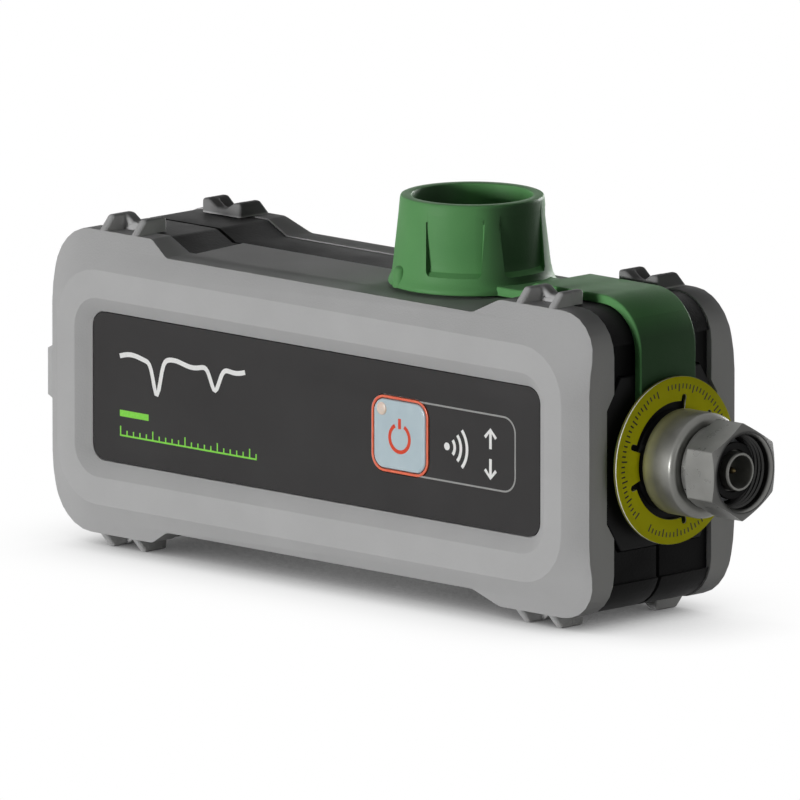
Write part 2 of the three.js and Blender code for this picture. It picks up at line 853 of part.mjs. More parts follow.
// Coupling nut
function couplingNut() {
  const corners = [];
  for (let k = 0; k < hexSides; k += 1) {
    corners.push(new THREE.Vector2(...polar(hexRadius, Math.PI / 2 + k * 2 * Math.PI / hexSides)));
  }
  const flats = hexFlats * half;
  const faceRadius = flats + hexBreak * half;
  const hex = both(prism('x', corners, hexStart, nutFace), turned('x', [
    [hexStart, 0], [hexStart, faceRadius], [hexStart + hexBreak, hexRadius],
    [nutFace - hexBreak, hexRadius], [nutFace, faceRadius], [nutFace, 0],
  ]));
  const neck = turned('x', [
    [nutBack, 0], [nutBack, nutNeckRadius], [hexStart + hexBreak, nutNeckRadius], [hexStart + hexBreak, 0],
  ]);
  const mouth = nutBoreMouth - nutBore;
  const bore = turned('x', [
    [nutBack + nutLip, 0], [nutBack + nutLip, nutBore], [nutFace - mouth, nutBore], [nutFace, nutBoreMouth],
    [nutFace + overrun, nutBoreMouth], [nutFace + overrun, 0],
  ]);
  const lip = turned('x', [
    [nutBack - overrun, 0], [nutBack - overrun, nutLipBore], [nutFace, nutLipBore], [nutFace, 0],
  ]);
  return cut(join(hex, neck), bore, lip);
}

// Connector body: flange inside the case, barrel through the plate, and the sleeve in the nut
const tailEndX = flangeBackX - connectorTail;

function connectorBody() {
  const flangeOutline = roundedBox(flangeHalf, flangeHalf, slopeRound, 0, 0, smallSteps);
  const flange = prism('x', flangeOutline, flangeBackX, flangeFaceX);
  const groove = nutBack + nutLip + seat;
  const grooveEnd = groove + retainerThick + closeSeat + closeSeat;
  const step = flangeFaceX - overrun;
  const front = shoulderEnd + nutLip;
  const barrel = turned('x', [
    [tailEndX, 0], [tailEndX, tailRadius], [step, tailRadius], [step, barrelRadius],
    [collarEnd, barrelRadius], [collarEnd, shoulderRadius],
    [groove, shoulderRadius], [groove, retainerGroove],
    [grooveEnd, retainerGroove], [grooveEnd, shoulderRadius], [front, shoulderRadius], [front, sleeveOuter],
    [sleeveTip, sleeveOuter], [sleeveTip, sleeveInner], [sleeveFloor, sleeveInner], [sleeveFloor, 0],
  ]);
  const boreRadius = insulatorRadius + closeSeat;
  const bore = turned('x', [
    [tailEndX - overrun, 0], [tailEndX - overrun, boreRadius],
    [sleeveFloor + overrun, boreRadius], [sleeveFloor + overrun, 0],
  ], smallSides);
  const holes = flangeScrewPlaces.map(([y, z]) => (
    prism('x', circle(flangeBore, y, z, tinySides), flangeBackX - overrun, flangeFaceX + overrun)));
  return cut(join(flange, barrel), bore, ...holes);
}

function insulator() {
  return turned('x', ringProfile(tailEndX, sleeveFloor, insulatorRadius, insulatorBore), smallSides);
}

function centrePin() {
  const tail = tailEndX - pinTail;
  return turned('x', [
    [tail, 0], [tail, pinRadius], [pinTip - pinPoint, pinRadius], [pinTip, pinRadius * half], [pinTip, 0],
  ], tinySides);
}

function connectorGasket() {
  const face = shoulderEnd + nutLip + closeSeat;
  const inner = sleeveOuter + closeSeat;
  return turned('x', ringProfile(face, face + washerThick, inner + washerWidth, inner), smallSides);
}

// Retaining ring in the groove behind the nut's lip, which is cut so that it can be sprung on
function nutRetainer() {
  const start = nutBack + nutLip + seat + closeSeat;
  const end = start + retainerThick;
  const gapHalf = retainerThick * half;
  const ring = turned('x', ringProfile(start, end, retainerRadius, retainerGroove + closeSeat));
  return cut(ring, box(start - overrun, end + overrun, -gapHalf, gapHalf, 0, retainerRadius + overrun));
}

function flangeScrew(y, z) {
  const head = prism('x', circle(flangeHead, y, z, tinySides),
    flangeBackX - closeSeat - flangeHeadHeight, flangeBackX - closeSeat);
  const shank = prism('x', circle(flangeShank, y, z, tinySides),
    flangeBackX - closeSeat - flangeHeadHeight * half, plateBackX + flangeScrewBite);
  return join(head, shank);
}

// Strap: a loop round the neck, a riser that goes over the corner, and a run to the cap
function strapAnchor() {
  const loop = turned('x', ringProfile(strapEndX, strapEndX + strapThick, loopRadius, neckRadius + seat));
  const tab = box(strapEndX, strapEndX + strapThick, -strapY, strapY, 0, strapFoot - hingeGap * half);
  const hole = prism('x', circle(neckRadius + seat, 0, 0, roundSides), 0, caseLength);
  return join(loop, cut(tab, hole));
}

function strapRiser() {
  const outerX = strapEndX + strapThick;
  const outerZ = strapPadZ + strapThick;
  const start = pivotCorner[0] + hingeGap * half;
  const foot = strapFoot + hingeGap * half;
  const innerRound = strapEndX - pivotCorner[0] - hingeGap;
  const points = rounded([
    [outerX, foot], [outerX, outerZ, innerRound + strapThick], [start, outerZ], [start, strapPadZ],
    [strapEndX, strapPadZ, innerRound], [strapEndX, foot],
  ]);
  return prism('y', points, -strapY, strapY);
}

const slopeShift = strapGap / Math.sin(slopeAngle) + bandStep;
const slopeAt = (z) => deckX + (z - deckZ) * slopeRun / (padZ - deckZ) - slopeShift;

function strapRun() {
  const outerShift = strapThick * Math.tan(slopeAngle * half);
  const startX = pivotCap[0] + hingeGap * half;
  const endOfRun = pivotCorner[0] - hingeGap * half;
  const lowX = slopeAt(strapDeckZ);
  const highX = slopeAt(strapPadZ);
  const padTopZ = strapPadZ + strapThick;
  const deckTopZ = strapDeckZ + strapThick;
  const points = rounded([
    [startX, strapDeckZ], [lowX, strapDeckZ, slopeRound, smallSteps],
    [highX, strapPadZ, slopeRound, smallSteps], [endOfRun, strapPadZ],
    [endOfRun, padTopZ], [highX - outerShift, padTopZ, slopeRound, smallSteps],
    [lowX - outerShift, deckTopZ, slopeRound, smallSteps], [startX, deckTopZ],
  ]);
  return prism('y', points, -strapY, strapY);
}

// Dust cap: a cup with its mouth up, panels round its side and a small boss at its foot
function dustCap() {
  const base = strapDeckZ;
  const flangeTop = base + strapThick;
  const taper = (capBottomRadius - capTopRadius) / (capTop - flangeTop);
  const radiusAt = (z) => capBottomRadius - taper * (z - flangeTop);
  const cup = turned('z', [
    [base, 0], [base, capFlange], [flangeTop, capFlange], [flangeTop, capBottomRadius],
    [capTop - seat, capTopRadius], [capTop, capRim], [capTop, capBore], [flangeTop + capFloor, capBore],
    [flangeTop + capFloor, 0],
  ]);
  const low = flangeTop + capPanelFoot;
  const high = capTop - capPanelTop;
  const wedges = capPanels.map((angle) => {
    const section = (z, depth) => {
      const points = [];
      const inner = radiusAt(z) - depth;
      for (let k = -cornerSteps; k <= cornerSteps; k += 1) {
        points.push(new THREE.Vector2(...polar(inner, deg(angle + capPanelAngle * half * k / cornerSteps))));
      }
      for (let k = cornerSteps; k >= -cornerSteps; k -= 1) {
        const outer = capFlange + overrun;
        points.push(new THREE.Vector2(...polar(outer, deg(angle + capPanelAngle * half * k / cornerSteps))));
      }
      return points;
    };
    return loft('z', [[section(low, capPanelDepth), low], [section(high, capPanelTopDepth), high]]);
  });
  const tabHalf = tabReach + capFlange - capBottomRadius + tabRadius;
  const tabMiddle = capBottomRadius - tabRadius;
  const tabOutline = roundedBox(tabHalf, tabRadius, tabRadius - seat, tabMiddle, 0, smallSteps);
  const tab = prism('z', tabOutline, base, base + tabThick).rotate([0, 0, tabAngle]);
  const floor = flangeTop + capFloor;
  const above = capTop + overrun;
  const cavity = turned('z', [[floor, 0], [floor, capBore], [above, capBore], [above, 0]]);
  const web = box(0, capFlange, -strapY, strapY, base, flangeTop);
  return moved(join(cut(cup, ...wedges), cut(tab, cavity), web), capX, 0, 0);
}

// Port door, its hinge pin, and the socket behind it
function portDoor() {
  const inside = -recessX + doorPocketDepth - endRecess - closeSeat;
  const outside = inside - doorThick;
  const slab = box(outside, inside, -doorHalfWidth, doorHalfWidth, doorBottom, doorTop);
  const barrel = prism('y', circle(hingeRadius, -hingeX, hingeZ, tinySides), -knuckleHalf, knuckleHalf);
  const web = box(outside, inside, -knuckleHalf, knuckleHalf, hingeZ, doorBottom + overrun);
  const bore = prism('y', circle(hingeBore, -hingeX, hingeZ, tinySides), -doorHalfWidth, doorHalfWidth);
  return cut(join(slab, barrel, web), bore);
}

function hingePin() {
  const reach = knuckleHalf + closeSeat + earThick;
  return prism('y', circle(hingePinRadius, -hingeX, hingeZ, tinySides), -reach, reach);
}

const socketMouthX = -innerEndX - overrun;

function portSocket() {
  const y = socketWidth * half;
  const z = socketHeight * half;
  const outline = (grow) => roundedBox(y + grow, z + grow, z * half + grow, 0, portZ, smallSteps);
  const end = socketMouthX + socketDepth;
  const shell = prism('x', outline(0), socketMouthX, end);
  return cut(shell, prism('x', outline(-socketWall), socketMouthX - overrun, end - socketBack));
}

function portFrame() {
  const start = -innerEndX + seat;
  const y = portHalfWidth + frameMargin;
  const z = (portTop - portBottom) * half + frameMargin;
  const end = start + frameThick;
  const holeY = socketWidth * half + closeSeat;
  const holeZ = socketHeight * half + closeSeat;
  const holeOutline = roundedBox(holeY, holeZ, holeZ * half, 0, portZ, smallSteps);
  const frame = prism('x', roundedBox(y, z, slopeRound, 0, portZ, smallSteps), start, end);
  return cut(frame, prism('x', holeOutline, start - overrun, end + overrun));
}

// Electronics
function mainBoard() {
  const board = box(boardStart, boardEnd, boardFront, boardBack, -boardHalfHeight, boardHalfHeight);
  const notches = postPlaces.map(([x, z]) => post(x, z, postRadius + seat * 2, frontY, 0));
  const holes = boardPosts.map(([x, z]) => post(x, z, boardBore, frontY, 0));
  return cut(board, ...notches, ...holes);
}

function rfShield() {
  const start = boardBack + closeSeat;
  const can = box(shieldStart, shieldEnd, start, start + shieldRise, -shieldHalfHeight, shieldHalfHeight);
  const hollow = box(shieldStart + shieldWall, shieldEnd - shieldWall, start - overrun,
    start + shieldRise - shieldWall, -shieldHalfHeight + shieldWall, shieldHalfHeight - shieldWall);
  return cut(can, hollow);
}

function wirelessModule() {
  const back = boardFront - closeSeat;
  return box(moduleX - moduleLength * half, moduleX + moduleLength * half, back - moduleThick, back,
    moduleZ - moduleHeight * half, moduleZ + moduleHeight * half);
}

function powerSwitch() {
  const back = boardFront - closeSeat;
  const body = box(buttonX - switchHalf, buttonX + switchHalf, back - switchBody, back,
    buttonZ - switchHalf, buttonZ + switchHalf);
  const knobTip = back - switchBody - switchKnob;
  const knob = post(buttonX, buttonZ, switchKnobRadius, knobTip, back - switchBody * half);
  return join(body, knob);
}

function batteryCell(side) {
  const end = cellStart + cellLength;
  const endRadius = cellRadius - seat;
  const cell = turned('x', [
    [cellStart, 0], [cellStart, endRadius], [cellStart + seat, cellRadius],
    [end - seat, cellRadius], [end, endRadius], [end, 0],
  ], smallSides + tinySides);
  return moved(cell, 0, cellY, side * cellZ);
}

function batteryTray() {
  const start = cellStart + (cellLength - trayLength) * half;
  const end = start + trayLength;
  const back = -innerY - closeSeat;
  const block = box(start, end, cellY + cellRadius * half, back, -trayHalfHeight, trayHalfHeight);
  const channels = [1, -1].map((side) => {
    const outline = circle(cellRadius + seat, cellY, side * cellZ, smallSides + tinySides);
    return prism('x', outline, start - overrun, end + overrun);
  });
  return cut(block, ...channels);
}

// Semi-rigid cable from the shield to the connector's tail
function rfCable() {
  const startX = shieldEnd + closeSeat;
  const endOfCable = tailEndX - pinTail - closeSeat;
  const route = new THREE.CatmullRomCurve3([
    new THREE.Vector3(startX, cableEntryY, 0), new THREE.Vector3(startX + cableLead, cableEntryY, 0),
    new THREE.Vector3(endOfCable - cableLead - cableLead, 0, 0), new THREE.Vector3(endOfCable, 0, 0),
  ]);
  const shape = new THREE.Shape(circle(cableRadius, 0, 0, cableSides));
  return solid(new THREE.ExtrudeGeometry(shape, {
    steps: cableSteps, extrudePath: route, bevelEnabled: false,
  }));
}

function boardScrew(x, z) {
  const seatY = boardBack + closeSeat;
  const head = post(x, z, boardHead, seatY, seatY + boardHeadHeight);
  const shank = post(x, z, boardShank, boardFront - boardScrewReach, seatY + boardHeadHeight * half);
  return join(head, shank);
}

function caseScrew(x, z) {
  const seatY = -frontY - headPocketDepth + closeSeat;
  const head = post(x, z, headRadius, seatY, seatY + headHeight);
  const shank = post(x, z, shankRadius, -screwEngage, seatY + headHeight * half);
  return join(head, shank);
}

add('front_shell', 'lightCover', frontShell());
add('rear_shell', 'lightCover', rearShell());
add('front_housing', 'darkHousing', darkHousing(coverEndY, true));
add('rear_housing', 'darkHousing', mirrorY(darkHousing(frontY + rearCoverLip, false)));
add('gasket_upper', 'rubber', seamGasket(1));
add('gasket_lower', 'rubber', seamGasket(-1));
add('label_panel', 'panel', labelPanel());
add('rear_plate', 'panel', mirrorY(recessPlate()));
add('button_ring', 'orange', buttonRing());
add('power_button', 'button', powerButton());
add('led_lens', 'lens', post(lensX, lensZ, lensRadius, buttonFaceY, buttonFaceY + lensLength));
add('connector_plate', 'blackPlastic', connectorPlate());
add('connector_neck', 'blackPlastic', connectorNeck());
add('torque_ring', 'yellow', torqueRing());
add('connector_collar', 'nickel', connectorCollar());
add('connector_body', 'nickel', connectorBody());
add('coupling_nut', 'nickel', couplingNut());
add('nut_retainer', 'steel', nutRetainer());
add('connector_gasket', 'rubber', connectorGasket());
add('dielectric', 'insulator', insulator());
add('centre_pin', 'gold', centrePin());
flangeScrewPlaces.forEach(([y, z], i) => add(`flange_screw_${i + 1}`, 'steel', flangeScrew(y, z)));
add('strap_anchor', 'green', strapAnchor());
add('strap_riser', 'green', strapRiser());
add('strap_run', 'green', strapRun());
add('dust_cap', 'green', dustCap());
add('port_door', 'rubber', portDoor());
add('hinge_pin', 'steel', hingePin());
add('port_socket', 'tin', portSocket());
add('port_frame', 'blackPlastic', portFrame());
add('main_board', 'board', mainBoard());
add('rf_shield', 'tin', rfShield());
add('wireless_module', 'tin', wirelessModule());
add('power_switch', 'blackPlastic', powerSwitch());
add('battery_cell_1', 'cell', batteryCell(1));
add('battery_cell_2', 'cell', batteryCell(-1));
add('battery_tray', 'blackPlastic', batteryTray());
add('rf_cable', 'tin', rfCable());
boardPosts.forEach(([x, z], i) => add(`board_screw_${i + 1}`, 'steel', boardScrew(x, z)));
postPlaces.forEach(([x, z], i) => add(`case_screw_${i + 1}`, 'steel', caseScrew(x, z)));

// The origin is under the middle of the whole object, on the surface that the feet stand on
assembly.position.set(-(nutFace - endX - gripProud) * half, 0, footZ);

export default analyzer;
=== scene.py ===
import math

import bmesh
import bpy
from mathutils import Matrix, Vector


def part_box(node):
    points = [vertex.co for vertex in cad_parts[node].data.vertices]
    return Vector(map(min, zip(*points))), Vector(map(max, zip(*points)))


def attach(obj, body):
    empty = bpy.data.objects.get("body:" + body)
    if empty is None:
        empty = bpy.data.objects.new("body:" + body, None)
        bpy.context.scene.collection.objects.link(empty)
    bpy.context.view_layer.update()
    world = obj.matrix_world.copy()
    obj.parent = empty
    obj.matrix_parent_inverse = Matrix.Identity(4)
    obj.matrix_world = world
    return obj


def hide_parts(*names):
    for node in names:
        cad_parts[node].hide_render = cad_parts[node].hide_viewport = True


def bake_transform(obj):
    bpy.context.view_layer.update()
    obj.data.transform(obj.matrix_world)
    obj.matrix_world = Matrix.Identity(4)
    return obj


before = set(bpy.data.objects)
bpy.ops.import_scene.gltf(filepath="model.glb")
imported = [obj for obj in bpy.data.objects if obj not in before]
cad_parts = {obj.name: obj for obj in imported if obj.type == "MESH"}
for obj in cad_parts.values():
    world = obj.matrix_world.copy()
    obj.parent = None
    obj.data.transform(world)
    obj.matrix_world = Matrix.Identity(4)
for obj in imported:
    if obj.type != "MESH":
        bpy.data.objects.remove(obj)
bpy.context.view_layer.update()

MM = 0.001

# The middle of the case, which the sizes below are measured from
panel_low, panel_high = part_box("label_panel")
MIDDLE = Vector(((panel_low.x + panel_high.x) / 2, 0, (panel_low.z + panel_high.z) / 2))

# The height of the pads, which the feet stand on
PAD_Z = 34.2

# The back and the face of the torque ring
RING_BACK, RING_FACE = 86.7, 87.55

# Edges sharper than this many degrees are rounded, where nothing else is said
SHARP = 28


def at(x, y, z):
    """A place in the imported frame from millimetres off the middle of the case."""
    return MIDDLE + Vector((x, y, z)) * MM


def linear(code):
    """An sRGB hex colour as linear RGBA."""
    channels = [int(code[i:i + 2], 16) / 255 for i in (1, 3, 5)]
    return [c / 12.92 if c <= 0.04045 else ((c + 0.055) / 1.055) ** 2.4 for c in channels] + [1]


# Shader nodes


def put(tree, kind, inputs=None, **settings):
    """Add a node: settings are its own values, inputs are socket values or outputs to link."""
    node = tree.nodes.new("ShaderNode" + kind)
    for name, value in settings.items():
        setattr(node, name, value)
    for socket, value in (inputs or {}).items():
        if isinstance(value, bpy.types.NodeSocket):
            tree.links.new(value, node.inputs[socket])
        else:
            node.inputs[socket].default_value = value
    return node


def surface(name, **values):
    """A new material with its shader, whose plain values are set on the shader itself, and object coordinates."""
    material = bpy.data.materials.new(name)
    material.use_nodes = True
    tree = material.node_tree
    shader = tree.nodes["Principled BSDF"]
    for socket, value in values.items():
        shader.inputs[socket.replace("_", " ")].default_value = value
    place = put(tree, "TexCoord").outputs["Object"]
    return material, tree, shader, place


def mottle(tree, place, size, low, high, detail=3.0):
    """Noise with patches of a size in millimetres, spread between two values."""
    noise = put(tree, "TexNoise", {"Vector": place, "Scale": 1 / (size * MM), "Detail": detail})
    return put(tree, "MapRange", {
        "Value": noise.outputs["Fac"], "From Min": 0.3, "From Max": 0.7, "To Min": low, "To Max": high,
    }).outputs["Result"]


def tint(tree, shader, amount, low, high):
    """Colour between two hex colours by a 0 to 1 amount."""
    mix = put(tree, "MixRGB", {"Fac": amount, "Color1": linear(low), "Color2": linear(high)})
    tree.links.new(mix.outputs["Color"], shader.inputs["Base Color"])


def retint(material, amount, other):
    """Mix another hex colour into a material's colour by a 0 to 1 amount."""
    tree = material.node_tree
    colour = tree.nodes["Principled BSDF"].inputs["Base Color"]
    mix = put(tree, "MixRGB", {"Fac": amount, "Color1": colour.links[0].from_socket, "Color2": linear(other)})
    tree.links.new(mix.outputs["Color"], colour)


def ramp(tree, value, start, end):
    """0 to 1 as a value goes from start to end."""
    return put(tree, "MapRange", {"Value": value, "From Min": start, "From Max": end}).outputs["Result"]


def along(tree, axis, start, end):
    """0 to 1 from one place to another along an axis, in metres."""
    spot = put(tree, "SeparateXYZ", {"Vector": put(tree, "TexCoord").outputs["Object"]})
    return ramp(tree, spot.outputs[axis], start, end)


def facing_end(tree, start, end):
    """0 to 1 as a face turns towards the connector's end, between two values of its normal's X."""
    way = put(tree, "SeparateXYZ", {"Vector": put(tree, "TexCoord").outputs["Normal"]})
    return ramp(tree, way.outputs["X"], start, end)


def relief(tree, shader, height, depth):
    """Bump from a 0 to 1 height, with its depth in millimetres."""
    bump = put(tree, "Bump", {"Height": height, "Distance": depth * MM, "Strength": 1.0})
    tree.links.new(bump.outputs["Normal"], shader.inputs["Normal"])


def moulded_plastic(name, dark, light, roughness, grain, depth, specular=0.5):
    """Injection-moulded plastic with a spark-eroded grain: an even satin skin with slight handling marks."""
    material, tree, shader, place = surface(name, Specular_IOR_Level=specular, IOR=1.5)
    tint(tree, shader, mottle(tree, place, 14, 0, 1), dark, light)
    marks = mottle(tree, place, 9, roughness - 0.05, roughness + 0.06, 5.0)
    tree.links.new(marks, shader.inputs["Roughness"])
    relief(tree, shader, mottle(tree, place, grain, 0, 1, 2.0), depth)
    return material


def light_cover():
    # ABS blend, light grey, moulded with a fine eroded grain: matt, with soft highlights on the rounded edges. The
    # faces towards the connector are painted paler, a painted light, and the rear cover's upper feet darker, a
    # painted shade, as the photograph shows them
    material = moulded_plastic("light_grey_abs", "#bbbbbb", "#c0c0c0", 0.62, 0.45, 0.02, 0.03)
    tree = material.node_tree
    # Painted light: the faces towards the connector are painted a paler grey
    retint(material, facing_end(tree, 0.6, 0.95), "#dededc")
    # Painted shade: the upper feet of the rear cover are painted a darker grey
    rear = along(tree, "Y", 0.0, MM)
    raised = along(tree, "Z", at(0, 0, PAD_Z + 0.1).z, at(0, 0, PAD_Z + 0.5).z)
    foot = put(tree, "Math", {0: rear, 1: raised}, operation="MULTIPLY")
    retint(material, foot.outputs[0], "#8a8a8a")
    return material


def dark_housing():
    # Glass-filled nylon, charcoal, moulded with a coarser grain: dull, with painted shade making the faces towards
    # the connector nearly black
    material = moulded_plastic("charcoal_nylon", "#242424", "#2a2a2a", 0.55, 0.6, 0.03, 0.07)
    # Painted shade: the faces towards the connector are painted nearly black
    retint(material, facing_end(material.node_tree, 0.5, 0.95), "#060606")
    return material


def black_plastic():
    # Polycarbonate, black, polished tool: dark with a soft sheen
    return moulded_plastic("black_polycarbonate", "#0f0f0f", "#141414", 0.5, 0.5, 0.01, 0.1)


def panel_film():
    # Polyester label film over a plate, printed dark grey on its back: flat and even, with a velvet top coat
    return moulded_plastic("dark_label_film", "#3b3a3a", "#3e3d3d", 0.5, 0.3, 0.006, 0.08)


def silicone_rubber(name, dark, light):
    """Moulded silicone rubber: soft highlights, a faint dusty bloom and a fine matt grain."""
    material, tree, shader, place = surface(
        name, Specular_IOR_Level=0.11, IOR=1.42, Sheen_Weight=0.02, Sheen_Roughness=0.5)
    tint(tree, shader, mottle(tree, place, 11, 0, 1), dark, light)
    tree.links.new(mottle(tree, place, 6, 0.42, 0.5, 4.0), shader.inputs["Roughness"])
    relief(tree, shader, mottle(tree, place, 0.35, 0, 1, 2.0), 0.012)
    return material


def green_rubber():
    # Silicone rubber, mid green: the strap and its cap are one moulding, with painted shade darkening the faces
    # towards the connector
    material = silicone_rubber("green_silicone", "#5b945a", "#629b60")
    # Painted shade: the faces towards the connector are painted a darker green
    retint(material, facing_end(material.node_tree, 0.72, 0.96), "#3f5f3f")
    return material


def seal_rubber():
    # Nitrile rubber, black: dull seals and the soft port door
    return silicone_rubber("black_nitrile", "#131313", "#191919")


def yellow_plastic():
    # Polypropylene sheet, die-cut: printed yellow on its face, pale white along its rounded front edge, dark olive on
    # its cut rim
    material, tree, shader, place = surface("printed_polypropylene", Specular_IOR_Level=0.12, IOR=1.49)
    front_edge = along(tree, "X", at(RING_FACE - 0.35, 0, 0).x, at(RING_FACE - 0.2, 0, 0).x)
    rim = put(tree, "MixRGB", {"Fac": front_edge, "Color1": linear("#5d5c2a"), "Color2": linear("#e6e6df")})
    ink = put(tree, "MixRGB", {
        "Fac": mottle(tree, place, 5, 0, 1), "Color1": linear("#e4e112"), "Color2": linear("#ebe71a"),
    })
    mix = put(tree, "MixRGB", {
        "Fac": facing_end(tree, 0.8, 0.95), "Color1": rim.outputs["Color"], "Color2": ink.outputs["Color"],
    })
    tree.links.new(mix.outputs["Color"], shader.inputs["Base Color"])
    tree.links.new(mottle(tree, place, 4, 0.46, 0.56), shader.inputs["Roughness"])
    relief(tree, shader, mottle(tree, place, 0.4, 0, 1), 0.008)
    return material


# The length of one wave of the wave texture at a scale of 1
WAVE_LENGTH = math.pi / 10

# The pitch of the turning marks, which are drawn far coarser than real ones, so that they show at all
TURNING_PITCH = 2.2


def machined_metal(name, dark, light, roughness, metallic=1.0):
    """Plated and turned metal: faint rings across the axis, and a slightly cloudy plating."""
    material, tree, shader, place = surface(name, Metallic=metallic)
    tint(tree, shader, mottle(tree, place, 5, 0, 1), dark, light)
    rings = put(tree, "TexWave", {
        "Vector": place, "Scale": WAVE_LENGTH / (TURNING_PITCH * MM), "Distortion": 0.6, "Detail": 1.0,
    }, bands_direction="X")
    cloud = mottle(tree, place, 3, roughness - 0.04, roughness + 0.06, 4.0)
    tree.links.new(cloud, shader.inputs["Roughness"])
    relief(tree, shader, rings.outputs["Fac"], 0.002)
    return material


def nickel_plate():
    # Brass turned and plated with dull nickel under a thin film: a third of its grey is plain scattered light. Its
    # root, beside the torque ring, is painted paler and warmer, a painted reflection of the ring, as the photograph
    # shows it
    material = machined_metal("dull_nickel_plate", "#6f6f6b", "#7c7c78", 0.38, metallic=0.65)
    # Painted reflection: the root beside the yellow ring is painted paler and warmer
    retint(material, along(material.node_tree, "X", at(92.4, 0, 0).x, at(89.6, 0, 0).x), "#a3a27e")
    return material


def shaded_nickel():
    # The same plating on the nut, with painted shade: painted dark on its end face, as the photograph shows it, and
    # in its bore
    material = machined_metal("shaded_nickel_plate", "#787875", "#848481", 0.3, metallic=0.65)
    tree = material.node_tree
    place = put(tree, "TexCoord").outputs["Object"]
    # Painted shade: the end face and the bore, with its thread, are painted dark
    across = put(tree, "VectorMath", {0: place, 1: (0, 1, 1)}, operation="MULTIPLY")
    reach = put(tree, "VectorMath", {0: across.outputs["Vector"], 1: (0, 0, MIDDLE.z)}, operation="DISTANCE")
    bore = ramp(tree, reach.outputs["Value"], 8.5 * MM, 8.2 * MM)
    shade = put(tree, "Math", {0: facing_end(tree, 0.85, 0.98), 1: bore}, operation="MAXIMUM")
    retint(material, shade.outputs[0], "#2c2c2b")
    return material


def gold_plate():
    # Contact brass plated with gold: warm, and painted darker as painted shade for its place deep in the connector
    return machined_metal("gold_plate", "#4f4630", "#594f36", 0.32)


def zinc_steel():
    # Screw steel, zinc plated: cool grey with slight clouding
    return machined_metal("zinc_plated_steel", "#9a9ca0", "#a9abae", 0.35)


def tin_plate():
    # Rolled steel sheet, tinned: bright and slightly cloudy
    return machined_metal("tin_plated_sheet", "#b5b6b4", "#c2c3c1", 0.3)


def silver_button():
    # Polycarbonate, painted silver-blue and clear coated: a smooth key with a crisp highlight
    material, tree, shader, place = surface(
        "silver_painted_key", Specular_IOR_Level=0.5, IOR=1.5, Coat_Weight=0.35, Coat_Roughness=0.2)
    tint(tree, shader, mottle(tree, place, 4, 0, 1), "#b4c7cf", "#bcced5")
    tree.links.new(mottle(tree, place, 3, 0.36, 0.44), shader.inputs["Roughness"])
    relief(tree, shader, mottle(tree, place, 0.3, 0, 1), 0.003)
    return material


def orange_light_pipe():
    # Acrylic light pipe, tinted orange-red: clear-looking, with its colour deepest at the edge
    material, tree, shader, place = surface(
        "orange_acrylic", Specular_IOR_Level=0.5, IOR=1.49, Coat_Weight=0.3, Coat_Roughness=0.1)
    tint(tree, shader, mottle(tree, place, 3, 0, 1), "#ee5f3c", "#f4744c")
    tree.links.new(mottle(tree, place, 2, 0.25, 0.35), shader.inputs["Roughness"])
    return material


def milky_lens():
    # Diffused epoxy lens of a light: milky and warm, with a smooth dome
    material, tree, shader, place = surface(
        "milky_epoxy", Specular_IOR_Level=0.5, IOR=1.5, Subsurface_Weight=0.2, Subsurface_Scale=0.8 * MM)
    tint(tree, shader, mottle(tree, place, 1.2, 0, 1), "#e8d3c4", "#f0ddcf")
    tree.links.new(mottle(tree, place, 1.5, 0.2, 0.3), shader.inputs["Roughness"])
    return material


def printed_ink(name, dark, light):
    """Screen-printed ink: flat colour that is slightly uneven and dull."""
    material, tree, shader, place = surface(name, Specular_IOR_Level=0.3, IOR=1.45)
    tint(tree, shader, mottle(tree, place, 0.6, 0, 1), dark, light)
    tree.links.new(mottle(tree, place, 0.8, 0.5, 0.6), shader.inputs["Roughness"])
    return material


def insulator_plastic():
    # PTFE, turned: waxy white
    return moulded_plastic("white_ptfe", "#dcdcd6", "#e4e4df", 0.45, 0.3, 0.004)


def solder_resist():
    # Glass-epoxy board under green solder resist: copper tracks show through as paler bands
    material, tree, shader, place = surface(
        "green_solder_resist", Specular_IOR_Level=0.5, IOR=1.5, Coat_Weight=0.4, Coat_Roughness=0.15)
    tracks = put(tree, "TexBrick", {
        "Vector": place, "Color1": linear("#1c5a34"), "Color2": linear("#227041"), "Mortar": linear("#174a2b"),
        "Scale": 1 / (6 * MM), "Mortar Size": 0.03,
    })
    tree.links.new(tracks.outputs["Color"], shader.inputs["Base Color"])
    tree.links.new(mottle(tree, place, 4, 0.3, 0.4), shader.inputs["Roughness"])
    return material


def shrink_wrap():
    # PVC shrink sleeve on a cell, blue: glossy with faint wrinkles
    material, tree, shader, place = surface("blue_pvc_sleeve", Specular_IOR_Level=0.5, IOR=1.53)
    tint(tree, shader, mottle(tree, place, 8, 0, 1), "#24508c", "#2a5a9b")
    tree.links.new(mottle(tree, place, 5, 0.2, 0.32), shader.inputs["Roughness"])
    relief(tree, shader, mottle(tree, place, 2.5, 0, 1), 0.02)
    return material


